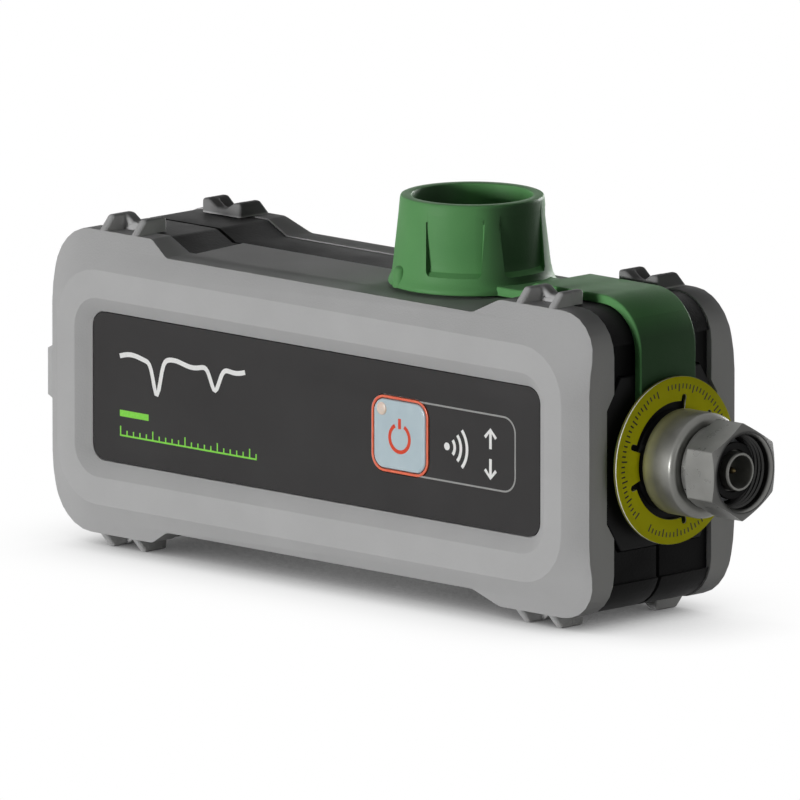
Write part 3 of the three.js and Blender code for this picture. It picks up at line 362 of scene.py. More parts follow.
FINISHES = {
    "light_cover": light_cover(), "dark_housing": dark_housing(), "black_plastic": black_plastic(),
    "panel_film": panel_film(), "button_plastic": silver_button(), "orange_rim": orange_light_pipe(),
    "lens": milky_lens(), "strap_rubber": green_rubber(), "torque_plastic": yellow_plastic(),
    "nickel": nickel_plate(), "gold_pin": gold_plate(), "insulator": insulator_plastic(),
    "seal_rubber": seal_rubber(), "circuit_board": solder_resist(), "tinned": tin_plate(),
    "cell_wrap": shrink_wrap(), "screw_steel": zinc_steel(),
}
SHADED_NICKEL = shaded_nickel()
WHITE_INK = printed_ink("white_ink", "#f0f0ee", "#f7f7f5")
GREEN_INK = printed_ink("green_ink", "#84dc4a", "#90e655")
RED_INK = printed_ink("red_ink", "#dd4529", "#e54e2f")
GREY_INK = printed_ink("grey_ink", "#9a9a98", "#a4a4a2")
BLACK_INK = printed_ink("black_ink", "#2c2c12", "#333316")


# Modelling steps


def only(piece):
    """Select one object and make it active."""
    bpy.ops.object.select_all(action="DESELECT")
    piece.select_set(True)
    bpy.context.view_layer.objects.active = piece


def named(name):
    """Name the object that was just added."""
    piece = bpy.context.object
    piece.name = name
    piece.data.name = name
    return piece


def settle(piece):
    """Put an object's place, turn and size into its mesh."""
    only(piece)
    bpy.ops.object.transform_apply(location=True, rotation=True, scale=True)
    return piece


def modify(piece, kind, **settings):
    """Add a modifier with its settings and apply it."""
    only(piece)
    modifier = piece.modifiers.new(kind.title(), kind)
    for name, value in settings.items():
        setattr(modifier, name, value)
    bpy.ops.object.modifier_apply(modifier=modifier.name)
    return piece


def pick(kind, test):
    """In edit mode, select only the vertices, edges or faces that pass a test."""
    bpy.ops.mesh.select_mode(type=kind)
    bpy.ops.mesh.select_all(action="DESELECT")
    mesh = bmesh.from_edit_mesh(bpy.context.object.data)
    elements = {"VERT": mesh.verts, "EDGE": mesh.edges, "FACE": mesh.faces}[kind]
    for element in elements:
        if test(element):
            element.select_set(True)
    mesh.select_flush_mode()
    bmesh.update_edit_mesh(bpy.context.object.data)


def edit(piece):
    """Go into edit mode on one object."""
    only(piece)
    bpy.ops.object.mode_set(mode="EDIT")
    bpy.ops.mesh.select_all(action="DESELECT")


def done():
    """Close an edit: merge doubles, turn the faces outwards and leave edit mode."""
    bpy.ops.mesh.select_all(action="SELECT")
    bpy.ops.mesh.remove_doubles(threshold=0.002 * MM)
    bpy.ops.mesh.normals_make_consistent(inside=False)
    bpy.ops.object.mode_set(mode="OBJECT")


def round_picked(width, segments):
    """In edit mode, round the selected edges by a width in millimetres, and close the edit."""
    bpy.ops.mesh.bevel(offset=width * MM, segments=segments, affect="EDGES", profile=0.5)
    done()


def soften(piece, width, segments=3, angle=SHARP):
    """Round the sharp edges by a width in millimetres."""
    return modify(piece, "BEVEL", width=width * MM, segments=segments, limit_method="ANGLE",
                  angle_limit=math.radians(angle), harden_normals=False)


def carve(piece, tool, operation="DIFFERENCE"):
    """Join, cut or intersect one object with another, which is used up."""
    modify(piece, "BOOLEAN", object=tool, operation=operation, solver="EXACT")
    bpy.data.objects.remove(tool, do_unlink=True)
    return piece


def block(name, low, high):
    """A box between two corners, in millimetres off the middle of the case."""
    low, high = at(*low), at(*high)
    bpy.ops.mesh.primitive_cube_add(size=1, location=(low + high) / 2, scale=high - low)
    return settle(named(name))


def round_along(piece, axis, radius, segments=8):
    """Round the edges of a box that run along an axis."""
    edit(piece)
    direction = Vector([1 if k == axis else 0 for k in "XYZ"])

    def runs_along(edge):
        way = (edge.verts[1].co - edge.verts[0].co).normalized()
        return abs(way.dot(direction)) > 0.99

    pick("EDGE", runs_along)
    round_picked(radius, segments)
    return piece


def turned(name, profile, sides=96, axis="Z", centre=(0, 0, 0), ring=True, phase=0):
    """A turned body: a circle drawn along (radius, height) pairs, then its ends joined to a ring or capped."""
    radius, height = profile[0]
    bpy.ops.mesh.primitive_circle_add(vertices=sides, radius=radius * MM, location=(0, 0, height * MM))
    piece = settle(named(name))
    bpy.ops.object.mode_set(mode="EDIT")
    bpy.ops.mesh.select_all(action="SELECT")
    for next_radius, next_height in profile[1:]:
        rise = (0, 0, (next_height - height) * MM)
        bpy.ops.mesh.extrude_region_move(TRANSFORM_OT_translate={"value": rise})
        share = next_radius / radius
        bpy.ops.transform.resize(value=(share, share, 1), center_override=(0, 0, next_height * MM))
        radius, height = next_radius, next_height
    bpy.ops.mesh.select_all(action="DESELECT")
    bpy.ops.mesh.select_mode(type="EDGE")
    bpy.ops.mesh.select_non_manifold()
    if ring:
        bpy.ops.mesh.bridge_edge_loops()
    else:
        bpy.ops.mesh.fill_holes(sides=0)
    done()
    turns = {"X": (0, math.pi / 2, 0), "Y": (-math.pi / 2, 0, 0), "Z": (0, 0, math.radians(phase))}
    piece.rotation_euler = turns[axis]
    piece.location = at(*centre)
    return settle(piece)


def turn_about_axis(piece, angle):
    """Turn a piece about the connector's axis by an angle in radians."""
    piece.rotation_euler = (angle, 0, 0)
    piece.location = (0, math.sin(angle) * MIDDLE.z, MIDDLE.z - math.cos(angle) * MIDDLE.z)
    return settle(piece)


def joined(name, pieces):
    """Several objects made one."""
    only(pieces[0])
    for piece in pieces[1:]:
        piece.select_set(True)
    bpy.ops.object.join()
    return named(name)


def dressed(node, width, merge=0.02):
    """A frame node's shape with its doubles merged, its flat faces cleaned and its edges rounded."""
    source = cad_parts[node]
    piece = source.copy()
    piece.data = source.data.copy()
    bpy.context.scene.collection.objects.link(piece)
    # The copy is a piece of its own: the node's properties and its parent stay with the node
    for key in list(piece.keys()):
        del piece[key]
    piece.parent = None
    piece.name = node + "_skin"
    piece.data.name = piece.name
    edit(piece)
    bpy.ops.mesh.select_all(action="SELECT")
    bpy.ops.mesh.remove_doubles(threshold=merge * MM)
    bpy.ops.mesh.dissolve_limited(angle_limit=math.radians(1))
    bpy.ops.object.mode_set(mode="OBJECT")
    if width:
        soften(piece, width)
    return piece


def fit(piece, slot, body, *nodes, material=None):
    """Finish a piece: smooth shading, its material (a slot's finish unless one is given), the body it rides on, and
    the nodes it stands for hidden.
    """
    settle(piece)
    bpy.ops.object.shade_smooth_by_angle(angle=math.radians(32))
    piece.data.materials.clear()
    piece.data.materials.append(material or FINISHES[slot])
    if body:
        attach(piece, body)
    if nodes:
        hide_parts(*nodes)
    return piece


# Case


def round_feet(cover, width):
    """Round the fins and saddles, which stand above the pads, more than the rest of a cover."""
    edit(cover)

    def on_foot(edge):
        high = any(abs(vertex.co.z - MIDDLE.z) > (PAD_Z + 0.3) * MM for vertex in edge.verts)
        return high and len(edge.link_faces) == 2 and edge.calc_face_angle() > math.radians(SHARP)

    pick("EDGE", on_foot)
    round_picked(width, 4)


def case_shells():
    """The two light covers and the two dark housings between them, on the frame's own shapes."""
    for node in ("front_shell", "rear_shell"):
        cover = dressed(node, 0, merge=0.3)
        round_feet(cover, 0.7)
        soften(cover, 0.45, 3, 30)
        fit(cover, "light_cover", "case", node)
    for node in ("front_housing", "rear_housing"):
        fit(dressed(node, 0.4, merge=0.25), "dark_housing", "case", node)


# Connector: all of it stands round the X axis through the middle of the case, with its profiles as (radius, X)


def connector():
    """What is fixed to the case: the end plate, the neck, the collar, the sleeve, the pin and the gasket."""
    fit(dressed("connector_plate", 0.5), "black_plastic", "case", "connector_plate")
    neck = turned("connector_neck_skin", [
        (9.2, 83.25), (11.2, 83.25), (11.2, 85.55), (13.4, 85.55), (13.4, 86.2), (11.2, 86.2), (11.2, 88.2),
        (11.0, 88.4), (9.2, 88.4),
    ], axis="X")
    fit(neck, "black_plastic", "case", "connector_neck")
    collar = turned("connector_collar_skin", [
        (8.0, 88.7), (11.4, 88.7), (11.6, 88.8), (11.7, 89.0), (11.7, 96.6), (11.62, 97.0), (11.4, 97.4),
        (11.05, 97.7), (10.6, 97.85), (10.1, 97.9), (8.0, 97.9),
    ], axis="X")
    fit(collar, "nickel", "case", "connector_collar")
    sleeve = turned("connector_sleeve_skin", [
        (3.5, 99.8), (3.5, 106.9), (3.7, 107.4), (4.15, 107.4), (4.35, 107.1), (4.35, 104.3), (6.2, 104.3),
        (6.2, 97.6), (7.8, 97.6), (7.8, 82.6), (2.6, 82.6), (2.6, 99.8),
    ], axis="X", sides=64)
    fit(sleeve, "nickel", "case", "connector_body")
    pin = turned("centre_pin_skin", [
        (0.8, 62.0), (0.8, 104.3), (0.72, 104.9), (0.45, 105.5), (0.2, 105.7),
    ], axis="X", sides=32, ring=False)
    fit(pin, "gold_pin", "case", "centre_pin")
    gasket = turned("connector_gasket_skin", [
        (4.6, 104.55), (6.3, 104.55), (6.4, 104.75), (6.4, 105.2), (6.2, 105.4), (4.8, 105.4), (4.6, 105.2),
    ], axis="X", sides=64)
    fit(gasket, "seal_rubber", "case", "connector_gasket")


# The nut's hexagon as inner and outer radius, and its thread
NUT_FLATS, NUT_CORNERS = 9.525, 10.998
THREAD_START, THREAD_PITCH, THREAD_RINGS = 102.0, 1.06, 5


def coupling_nut():
    """A six-sided nut with turned ends and a short neck, bored through, with plain rings for its thread."""
    start, face = 99.6, 108.7
    bpy.ops.mesh.primitive_cylinder_add(
        vertices=6, radius=NUT_CORNERS * MM, depth=(face - start) * MM, rotation=(0, 0, math.pi / 6))
    nut = settle(named("coupling_nut_skin"))
    nut.rotation_euler = (0, math.pi / 2, 0)
    nut.location = at((start + face) / 2, 0, 0)
    settle(nut)
    edit(nut)
    pick("EDGE", lambda edge: abs(edge.verts[0].co.x - edge.verts[1].co.x) > MM)
    round_picked(0.3, 3)
    carve(nut, turned("nut_envelope", [
        (NUT_FLATS - 0.45, start - 0.01), (NUT_CORNERS + 0.02, start + 0.8), (NUT_CORNERS + 0.02, face - 0.8),
        (NUT_FLATS - 0.2, face - 0.1), (NUT_FLATS - 0.45, face - 0.02), (NUT_FLATS - 0.6, face + 0.01),
    ], axis="X", sides=90, ring=False), "INTERSECT")
    neck = turned("nut_neck", [(9.2, 98.2), (9.3, 98.3), (9.3, 100.4)], axis="X", sides=90, ring=False)
    carve(nut, neck, "UNION")
    carve(nut, turned("nut_bore", [
        (6.6, 97.0), (6.6, 100.6), (8.5, 100.6), (8.15, 101.2), (8.15, 107.7), (8.3, 108.1), (8.9, 108.8),
        (8.9, 110),
    ], axis="X", sides=90, ring=False))
    fit(nut, "nickel", "nut", "coupling_nut", material=SHADED_NICKEL)
    for k in range(THREAD_RINGS):
        middle = THREAD_START + k * THREAD_PITCH
        thread = turned(f"nut_thread_{k + 1}", [
            (8.2, middle - 0.45), (8.2, middle + 0.45), (7.75, middle + 0.08), (7.75, middle - 0.08),
        ], axis="X", sides=90)
        fit(thread, "nickel", "nut", material=SHADED_NICKEL)


# The torque ring's fingers reach in to the neck, with a slot at each side of them: angles in degrees about the axis,
# and the slots' distances from it
FINGERS = (60, 180, 300)
FINGER_HALF_ANGLE = 17.6
SLOT_ANGLE = 19
SLOT_START, SLOT_END = 10.5, 14.0
SLOT_HALF_WIDTH = 0.7

# The radius at which the ticks on the torque ring end
MARK_EDGE = 17.0


def flat_ring(name, inner, outer):
    """A ring as thick as the torque ring, between two radii."""
    return turned(name, [(inner, RING_BACK), (outer, RING_BACK), (outer, RING_FACE), (inner, RING_FACE)], axis="X",
                  sides=144)


def torque_ring():
    """The yellow ring round the neck: three fingers are joined to it, then the slots are cut."""
    ring = flat_ring("torque_ring_skin", 13.1, 18.6)
    for angle in FINGERS:
        finger = flat_ring(f"finger_{angle}", 11.5, 13.4)
        edit(finger)

        def outside(vertex, angle=angle):
            spot = vertex.co - MIDDLE
            turn = math.degrees(math.atan2(spot.z, spot.y)) - angle
            return abs((turn + 180) % 360 - 180) > FINGER_HALF_ANGLE

        pick("VERT", outside)
        bpy.ops.mesh.delete(type="VERT")
        bpy.ops.mesh.select_mode(type="EDGE")
        bpy.ops.mesh.select_non_manifold()
        bpy.ops.mesh.edge_face_add()
        done()
        carve(ring, finger, "UNION")
        for side in (-SLOT_ANGLE, SLOT_ANGLE):
            slot = block(f"slot_{angle}_{side}", (RING_BACK - 1, SLOT_START, -SLOT_HALF_WIDTH),
                         (RING_FACE + 1, SLOT_END, SLOT_HALF_WIDTH))
            end = turned(f"slot_end_{angle}_{side}", [
                (SLOT_HALF_WIDTH, RING_BACK - 1), (SLOT_HALF_WIDTH, RING_FACE + 1),
            ], axis="X", sides=32, centre=(0, SLOT_END, 0), ring=False)
            carve(slot, end, "UNION")
            carve(ring, turn_about_axis(slot, math.radians(angle + side)))
    soften(ring, 0.12, 2, 40)
    fit(ring, "torque_plastic", "case", "torque_ring")


def torque_marks():
    """Ticks on the torque ring in three stretches, from one angle to another; every fourth tick is longer."""
    marks = []
    spacing = 4
    for start, end in ((20, 133), (150, 262), (276, 368)):
        for k in range((end - start) // spacing + 1):
            length = 1.7 if k % 4 == 0 else 1.1
            mark = block(f"torque_mark_{start}_{k}", (RING_FACE - 0.01, -0.17, MARK_EDGE - length),
                         (RING_FACE + 0.03, 0.17, MARK_EDGE))
            marks.append(turn_about_axis(mark, math.radians(start + k * spacing)))
    fit(joined("torque_marks", marks), "torque_plastic", "case", material=BLACK_INK)


# Strap and cap: one rubber moulding that bends over the foot, the corner and the edge of the cap

STRAP_HALF = 8.63
STRAP_THICK = 2.1

# Its outer face: up the end face, over the corner, level above the foot, and down to the deck before the cap
STRAP_OUTER_X = 85.4
STRAP_TOP = 36.2
STRAP_DECK = STRAP_TOP - 2.3
CORNER_X, CORNER_Z = 73.45, 24.25
CORNER_ROUND = STRAP_OUTER_X - CORNER_X

# Where its legs part: above the neck, in the corner and over the foot
HINGE_Z = 19.25
SPLIT_ANGLE = 40
SPLIT_X = 62


def arc(x, z, radius, start, end, steps):
    """Points on an arc in the XZ plane, in degrees from +X towards +Z."""
    turns = [math.radians(start + (end - start) * k / steps) for k in range(steps + 1)]
    return [(x + radius * math.cos(t), z + radius * math.sin(t)) for t in turns]


def line(x, z, to_x, to_z, steps):
    """Points on a straight line in the XZ plane, without its first point."""
    return [(x + (to_x - x) * k / steps, z + (to_z - z) * k / steps) for k in range(1, steps + 1)]


def strap_legs():
    """The strap's outer face from the neck to the cap, as legs that follow one another."""
    x, top, deck = STRAP_OUTER_X, STRAP_TOP, STRAP_DECK
    slope = [(53.2, top - 0.03), (52.8, top - 0.15), (52.3, top - 0.35)] + line(52.3, top - 0.35, 48.9, 34.15, 4)
    slope += [(48.4, 33.98), (48.0, 33.91), (47.6, deck)]
    return [
        [(x, 8)] + line(x, 8, x, HINGE_Z, 4),
        line(x, HINGE_Z, x, CORNER_Z, 12) + arc(CORNER_X, CORNER_Z, CORNER_ROUND, 0, SPLIT_ANGLE, 10)[1:],
        arc(CORNER_X, CORNER_Z, CORNER_ROUND, SPLIT_ANGLE, 90, 14)[1:] + line(CORNER_X, top, SPLIT_X, top, 16),
        line(SPLIT_X, top, 53.6, top, 4) + slope + line(47.6, deck, 41.0, deck, 24),
    ]


def ribbon(name, leg):
    """One leg of the strap: its rounded section is swept along the outer face and turned at each point."""
    legs = strap_legs()
    path = [spot for points in legs for spot in points]
    first = max(sum(len(points) for points in legs[:leg]) - 1, 0)
    last = sum(len(points) for points in legs[:leg + 1]) - 1

    def turn_at(k):
        x, z = path[max(k - 1, 0)]
        next_x, next_z = path[min(k + 1, len(path) - 1)]
        return math.pi / 2 - math.atan2(next_z - z, next_x - x) % (2 * math.pi)

    x, z = path[first]
    turn = turn_at(first)
    inward = Vector((-math.cos(turn), 0, math.sin(turn))) * STRAP_THICK / 2
    bpy.ops.mesh.primitive_plane_add(size=MM, location=at(x + inward.x, 0, z + inward.z), rotation=(0, turn, 0))
    piece = named(name)
    piece.scale = (STRAP_THICK, 2 * STRAP_HALF, 1)
    settle(piece)
    bpy.ops.object.mode_set(mode="EDIT")
    bpy.ops.mesh.select_all(action="SELECT")
    bpy.ops.mesh.bevel(offset=0.45 * MM, segments=4, affect="VERTICES", profile=0.5)
    bpy.ops.mesh.delete(type="ONLY_FACE")
    bpy.ops.mesh.select_all(action="SELECT")
    for k in range(first + 1, last + 1):
        next_x, next_z = path[k]
        step = ((next_x - x) * MM, 0, (next_z - z) * MM)
        bpy.ops.mesh.extrude_region_move(TRANSFORM_OT_translate={"value": step})
        bpy.ops.transform.rotate(value=turn - turn_at(k), orient_axis="Y", center_override=at(next_x, 0, next_z))
        x, z, turn = next_x, next_z, turn_at(k)
    bpy.ops.mesh.select_all(action="DESELECT")
    bpy.ops.mesh.select_mode(type="EDGE")
    bpy.ops.mesh.select_non_manifold()
    bpy.ops.mesh.fill_holes(sides=0)
    done()
    return piece


def strap():
    """The loop round the neck and three legs, each leg a piece of its own that ends where the next begins."""
    anchor = turned("strap_anchor_skin", [
        (11.5, 83.3), (15.2, 83.3), (15.6, 83.7), (15.6, 85.0), (15.2, 85.4), (11.5, 85.4),
    ], axis="X", sides=96)
    tab = ribbon("anchor_tab", 0)
    carve(tab, turned("anchor_bore", [(11.5, 82), (11.5, 87)], axis="X", sides=96, ring=False))
    carve(anchor, tab, "UNION")
    fit(anchor, "strap_rubber", "case", "strap_anchor")

    riser = ribbon("strap_foot_bend", 1)
    fit(riser, "strap_rubber", None, "strap_riser")
    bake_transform(riser)

    bend = ribbon("strap_corner_bend", 2)
    fit(bend, "strap_rubber", None, "strap_riser")
    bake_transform(bend)

    run = ribbon("strap_run_skin", 3)
    fit(run, "strap_rubber", None, "strap_run")
    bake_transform(run)


# The cap stands on the deck with its middle at CAP_X. Its panels are cut between these heights, and the ribs between
# them are rounded from RIB_FOOT up
CAP_X = 25
CAP_SIDES = 60
PANEL_FOOT, PANEL_TOP = 35.5, 49.0
RIB_FOOT = 36.5
PANEL_HALF_WIDTH = 6.3

# The boss: its angle about the cap's middle, and its distance from it
BOSS_ANGLE, BOSS_REACH = -111, 17.25


def dust_cap():
    """A cup with five panels, each deepest at its foot and running out below the rim, over a flared flange."""
    cap = turned("dust_cap_skin", [
        (17.9, 31.8), (18.3, 31.9), (18.5, 32.15), (18.5, 32.65), (18.38, 33.0), (18.1, 33.5), (17.85, 34.1),
        (17.66, 34.8), (17.52, 35.6), (16.25, 47.4), (15.95, 50.7), (15.88, 51.15), (15.7, 51.47), (15.4, 51.6),
        (13.85, 51.6), (13.5, 51.45), (13.32, 51.1), (13.25, 36.6), (13.05, 36.3),
    ], sides=CAP_SIDES, centre=(CAP_X, 0, 0), ring=False, phase=180 / CAP_SIDES)
    for angle in (-60, 0, 60, 120, 180):
        sector = block(f"panel_sector_{angle}", (14, -PANEL_HALF_WIDTH, PANEL_FOOT), (21, PANEL_HALF_WIDTH, 60))
        round_along(sector, "X", 1.3, 6)
        # The sector is moved to the origin's Z axis, turned about it, and moved on to the cap's middle
        sector.location = (-MIDDLE.x, 0, 0)
        settle(sector)
        sector.rotation_euler = (0, 0, math.radians(angle))
        sector.location = (at(CAP_X, 0, 0).x, 0, 0)
        settle(sector)
        face = turned(f"panel_face_{angle}", [
            (18.6, 34.75), (16.22, 36.55), (16.08, 36.95), (16.05, 38.5), (16.1, 44.0), (16.05, PANEL_TOP),
            (23, PANEL_TOP), (23, 34.75),
        ], sides=CAP_SIDES, centre=(CAP_X, 0, 0))
        carve(face, sector, "INTERSECT")
        carve(cap, face)
    edit(cap)

    def on_rib(edge):
        within = all(RIB_FOOT * MM < vertex.co.z - MIDDLE.z < (PANEL_TOP - 1) * MM for vertex in edge.verts)
        return within and edge.is_convex and edge.calc_face_angle() > math.radians(35)

    pick("EDGE", on_rib)
    round_picked(0.42, 4)
    fit(cap, "strap_rubber", "cap", "dust_cap")

    turn = math.radians(BOSS_ANGLE)
    boss = turned("dust_cap_boss", [
        (1.75, 32.0), (1.75, 35.4), (1.66, 35.9), (1.4, 36.35), (1.0, 36.6), (0.4, 36.7),
    ], sides=40, centre=(CAP_X + BOSS_REACH * math.cos(turn), BOSS_REACH * math.sin(turn), 0), ring=False)
    fit(boss, "strap_rubber", "cap")


# Front panel: button, its light pipe, and generic print

# The button's middle, and where the panel's and the button's faces stand on Y
BUTTON_X, BUTTON_Z = 26.4, 0.7
PANEL_FACE = -23.92
BUTTON_FACE = -24.27


def button_block(name, half_width, half_height, front, back, radius, segments=12):
    """A box round the button's middle, with rounded corners."""
    piece = block(name, (BUTTON_X - half_width, front, BUTTON_Z - half_height),
                  (BUTTON_X + half_width, back, BUTTON_Z + half_height))
    return round_along(piece, "Y", radius, segments)


def power_button():
    """The label panel, the button's rim, the key with its dished face, flange and stem, and the light's lens."""
    fit(dressed("label_panel", 0.12), "panel_film", "case", "label_panel")
    rim = button_block("button_ring_skin", 8.75, 8.55, -24.12, -23.02, 3.8)
    carve(rim, button_block("ring_hole", 8.15, 7.95, -26, -22, 3.2))
    soften(rim, 0.12, 3, 40)
    fit(rim, "orange_rim", "case", "button_ring")

    key = button_block("power_button_skin", 7.95, 7.75, BUTTON_FACE, -22.2, 3.0)
    edit(key)
    pick("FACE", lambda face: face.normal.y < -0.9)
    bpy.ops.mesh.inset(thickness=1.3 * MM, depth=0)
    bpy.ops.mesh.inset(thickness=1.0 * MM, depth=-0.12 * MM)
    done()
    soften(key, 0.45, 4, 40)
    flange = button_block("button_flange", 9.35, 9.15, -22.3, -21.2, 3.8, 8)
    stem = turned("button_stem", [(2.5, -21.6), (2.5, -17.2)], sides=32, axis="Y", centre=(BUTTON_X, 0, BUTTON_Z),
                  ring=False)
    key = joined("power_button_skin", [key, flange, stem])
    fit(key, "button_plastic", "button", "power_button")

    dome = turned("led_lens_skin", [
        (1.5, -22.3), (1.5, -24.2), (1.42, -24.32), (1.2, -24.42), (0.8, -24.48), (0.3, -24.5),
    ], sides=32, axis="Y", centre=(20.9, 0, 6.2), ring=False)
    fit(dome, "lens", "button", "led_lens")


def stroke(name, points, width, face=PANEL_FACE, closed=False):
    """A printed line on a front face: points are (x, z), the width is in millimetres, the print stands 0.03 proud."""
    curve = bpy.data.curves.new(name, "CURVE")
    curve.dimensions = "3D"
    curve.bevel_depth = width / 2 * MM
    curve.bevel_resolution = 3
    curve.use_fill_caps = True
    spline = curve.splines.new("POLY")
    spline.points.add(len(points) - 1)
    for point, (x, z) in zip(spline.points, points):
        point.co = (x * MM, 0, z * MM, 1)
    spline.use_cyclic_u = closed
    piece = bpy.data.objects.new(name, curve)
    bpy.context.scene.collection.objects.link(piece)
    only(piece)
    bpy.ops.object.convert(target="MESH")
    piece = bpy.context.object
    piece.scale = (1, 0.06 / width, 1)
    piece.location = at(0, face, 0)
    return settle(piece)


def rounded_path(left, right, low, high, radius, steps=8):
    """Points round a rectangle in the XZ plane, with its corners rounded."""
    corners = [(right - radius, high - radius, 0), (left + radius, high - radius, 90),
               (left + radius, low + radius, 180), (right - radius, low + radius, 270)]
    return [spot for x, z, start in corners for spot in arc(x, z, radius, start, start + 90, steps)]


# Generic print: the left edge of the trace and its scale, and the middle of the wave arcs
PRINT_LEFT = -61
WAVES_X, WAVES_Z = 40.8, 0.2


def print_symbols():
    """A thin box round the button and its symbols, three wave arcs over a dot, and two arrows."""
    box = stroke("print_box", rounded_path(17.65, 61.8, BUTTON_Z - 8.3, BUTTON_Z + 8.3, 3.5), 0.42, closed=True)
    fit(box, "panel_film", "case", material=GREY_INK)
    symbols = [stroke("print_dot", arc(WAVES_X, WAVES_Z, 0.45, 0, 330, 11), 0.9, closed=True)]
    for radius in (2.4, 4.3, 6.2):
        symbols.append(stroke(f"print_wave_{radius}", arc(WAVES_X, WAVES_Z, radius, -42, 42, 12), 0.85))
    for x, z, way in ((54.2, 3.4, 1), (54.2, -3.0, -1)):
        symbols.append(stroke(f"print_shaft_{way}", [(x, z - 2.1 * way), (x, z + 2.0 * way)], 0.8))
        head = [(x - 1.7, z + 0.4 * way), (x, z + 2.2 * way), (x + 1.7, z + 0.4 * way)]
        symbols.append(stroke(f"print_head_{way}", head, 0.8))
    fit(joined("print_symbols", symbols), "panel_film", "case", material=WHITE_INK)


def print_trace():
    """A slowly rising, rippled trace with two notches."""
    points = []
    for k in range(81):
        x = PRINT_LEFT + k * 0.49
        ripple = 0.55 * math.sin((x - PRINT_LEFT) / 2.1) + 0.035 * (x - PRINT_LEFT)
        notches = 7.4 * math.exp(-((x + 49.4) / 1.5) ** 2) + 5.6 * math.exp(-((x + 31.2) / 1.9) ** 2)
        points.append((x, 7.4 + ripple - notches))
    fit(stroke("print_trace", points, 1.15), "panel_film", "case", material=WHITE_INK)


def print_scale():
    """A scale under the trace, whose every fifth tick is longer, and a short bar above it."""
    strokes = [stroke("print_axis", [(PRINT_LEFT, -10.4), (-18.2, -10.4)], 0.4)]
    for k in range(22):
        x = PRINT_LEFT + 0.2 + k * 2.02
        length = 2.0 if k % 5 == 0 else 1.1
        strokes.append(stroke(f"print_tick_{k}", [(x, -10.3), (x, -10.3 + length)], 0.38))
    strokes.append(stroke("print_mark", [(PRINT_LEFT, -5.4), (-52, -5.4)], 1.5))
    fit(joined("print_scale", strokes), "panel_film", "case", material=GREEN_INK)


def print_power():
    """The power symbol, in the key's dished face: an open ring with a stem in its gap."""
    face = BUTTON_FACE + 0.1
    ring = stroke("print_power_ring", arc(BUTTON_X, BUTTON_Z - 0.6, 3.05, 118, 422, 32), 0.9, face)
    stem = stroke("print_power_stem", [(BUTTON_X, BUTTON_Z + 1.5), (BUTTON_X, BUTTON_Z + 3.8)], 0.9, face)
    fit(joined("print_power", [ring, stem]), "button_plastic", "button", material=RED_INK)


# The seal is squeezed until it fills the seam: the seam is 1 mm wide, and the loose seal 0.6 mm
SEAM_FILL = 1 / 0.6


def other_pieces():
    """The rear plate, the port door and the two seals."""
    fit(dressed("rear_plate", 0.15), "panel_film", "case", "rear_plate")
    fit(dressed("port_door", 0.35), "seal_rubber", "door", "port_door")
    for node in ("gasket_upper", "gasket_lower"):
        gasket = dressed(node, 0)
        edit(gasket)
        bpy.ops.mesh.select_all(action="SELECT")
        bpy.ops.transform.resize(value=(1, SEAM_FILL, 1), center_override=at(0, 0, 0))
        done()
        fit(gasket, "seal_rubber", "case", node)


def frame_finishes():
    """The frame nodes that stay visible get this scene's finishes in their own slots."""
    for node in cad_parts.values():
        slot = node.data.materials[0].name.split(".")[0]
        node.data.materials[0] = FINISHES[slot]


frame_finishes()
case_shells()
connector()
coupling_nut()
torque_ring()
torque_marks()
strap()
dust_cap()
power_button()
print_symbols()
print_trace()
print_scale()
print_power()
other_pieces()


# Camera, lights and floor

# The photograph's nearly parallel view: a very long lens, whose picture is VIEW_WIDTH millimetres wide at the target
AZIMUTH, ELEVATION = math.radians(44.7), math.radians(10.35)
LENS, SENSOR = 1500, 36
VIEW_WIDTH = 176.6
DISTANCE = VIEW_WIDTH * LENS / SENSOR
TARGET = at(2.64, 0, 2.53)

# How strongly the white surroundings light the object; the camera sees them at a strength of 1
AMBIENT = 0.03

# The shadow painted on the floor round what stands close over it: its reach, and how bright it is where it's deepest
SHADOW_REACH, SHADOW_DEPTH = 34, 0.03


def toward(azimuth, elevation):
    """The direction from the object to a viewer or a lamp; azimuth 0 is the front, and grows to the right."""
    return Vector((
        math.sin(azimuth) * math.cos(elevation), -math.cos(azimuth) * math.cos(elevation), math.sin(elevation)))


def aim(holder, place, target):
    """Put an object at a place and point it at a target."""
    holder.location = place
    holder.rotation_euler = (target - place).to_track_quat("-Z", "Y").to_euler()


def camera():
    """The view of the photograph."""
    data = bpy.data.cameras.new("photo_camera")
    data.lens = LENS
    data.sensor_width = SENSOR
    data.clip_end = 100
    holder = bpy.data.objects.new("photo_camera", data)
    bpy.context.scene.collection.objects.link(holder)
    aim(holder, TARGET + toward(AZIMUTH, ELEVATION) * DISTANCE * MM, TARGET)
    bpy.context.scene.camera = holder


def sun(name, azimuth, elevation, strength, spread):
    """A soft distant lamp; a strength of 1 lights a facing surface to its own colour."""
    data = bpy.data.lights.new(name, "SUN")
    data.energy = strength * math.pi
    data.angle = math.radians(spread)
    holder = bpy.data.objects.new(name, data)
    bpy.context.scene.collection.objects.link(holder)
    aim(holder, TARGET + toward(math.radians(azimuth), math.radians(elevation)), TARGET)


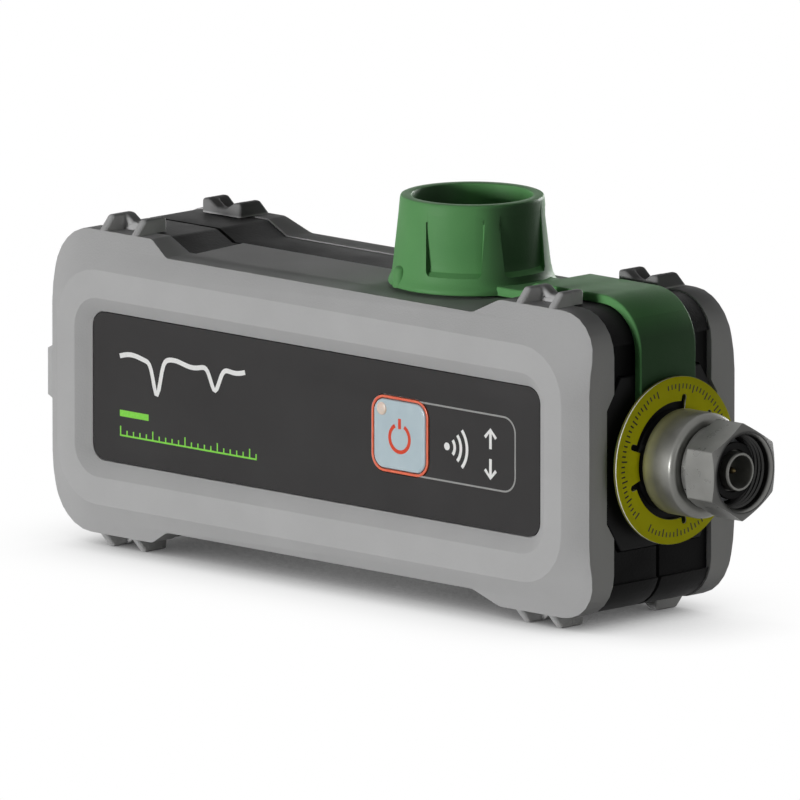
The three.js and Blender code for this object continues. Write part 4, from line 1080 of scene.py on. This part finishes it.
def seen(tree):
    """1 for what the camera sees, also in gloss and through glass, else 0."""
    path = put(tree, "LightPath")
    first = put(tree, "Math", {0: path.outputs["Is Camera Ray"], 1: path.outputs["Is Glossy Ray"]},
                operation="MAXIMUM")
    return put(tree, "Math", {0: first.outputs[0], 1: path.outputs["Is Transmission Ray"]},
               operation="MAXIMUM").outputs[0]


def surroundings():
    """White all round, and three low lamps: the key at the front left, and fills from the right and the back."""
    world = bpy.data.worlds.new("studio")
    bpy.context.scene.world = world
    world.use_nodes = True
    tree = world.node_tree
    strength = put(tree, "MapRange", {"Value": seen(tree), "To Min": AMBIENT, "To Max": 1.0})
    tree.nodes["Background"].inputs["Color"].default_value = (1, 1, 1, 1)
    tree.links.new(strength.outputs["Result"], tree.nodes["Background"].inputs["Strength"])
    sun("key", -12, 2, 1.0, 14)
    sun("right_fill", 84, 3, 0.1, 30)
    sun("back_fill", 190, 4, 0.6, 16)


def white_floor():
    """A floor that looks as white as the surroundings, apart from the shadow close round the object."""
    bpy.ops.mesh.primitive_plane_add(size=30, location=(0, 0, 0))
    floor = named("floor")
    material = bpy.data.materials.new("white_floor")
    material.use_nodes = True
    tree = material.node_tree
    tree.nodes.remove(tree.nodes["Principled BSDF"])
    matt = put(tree, "BsdfDiffuse", {"Color": linear("#e6e6e6")})
    contact = put(tree, "AmbientOcclusion", {"Distance": SHADOW_REACH * MM}, samples=16)
    lack = put(tree, "Math", {0: 1.0, 1: contact.outputs["AO"]}, operation="SUBTRACT")
    deep = put(tree, "Math", {0: lack.outputs[0], 1: 2.0}, operation="POWER")
    shade = put(tree, "MapRange", {"Value": deep.outputs[0], "To Min": 1.0, "To Max": SHADOW_DEPTH})
    glow = put(tree, "Emission", {"Color": (1, 1, 1, 1), "Strength": shade.outputs["Result"]})
    mix = put(tree, "MixShader", {0: seen(tree), 1: matt.outputs["BSDF"], 2: glow.outputs["Emission"]})
    tree.links.new(mix.outputs["Shader"], tree.nodes["Material Output"].inputs["Surface"])
    floor.data.materials.append(material)


camera()
surroundings()
white_floor()

bpy.context.scene.view_settings.view_transform = "Standard"
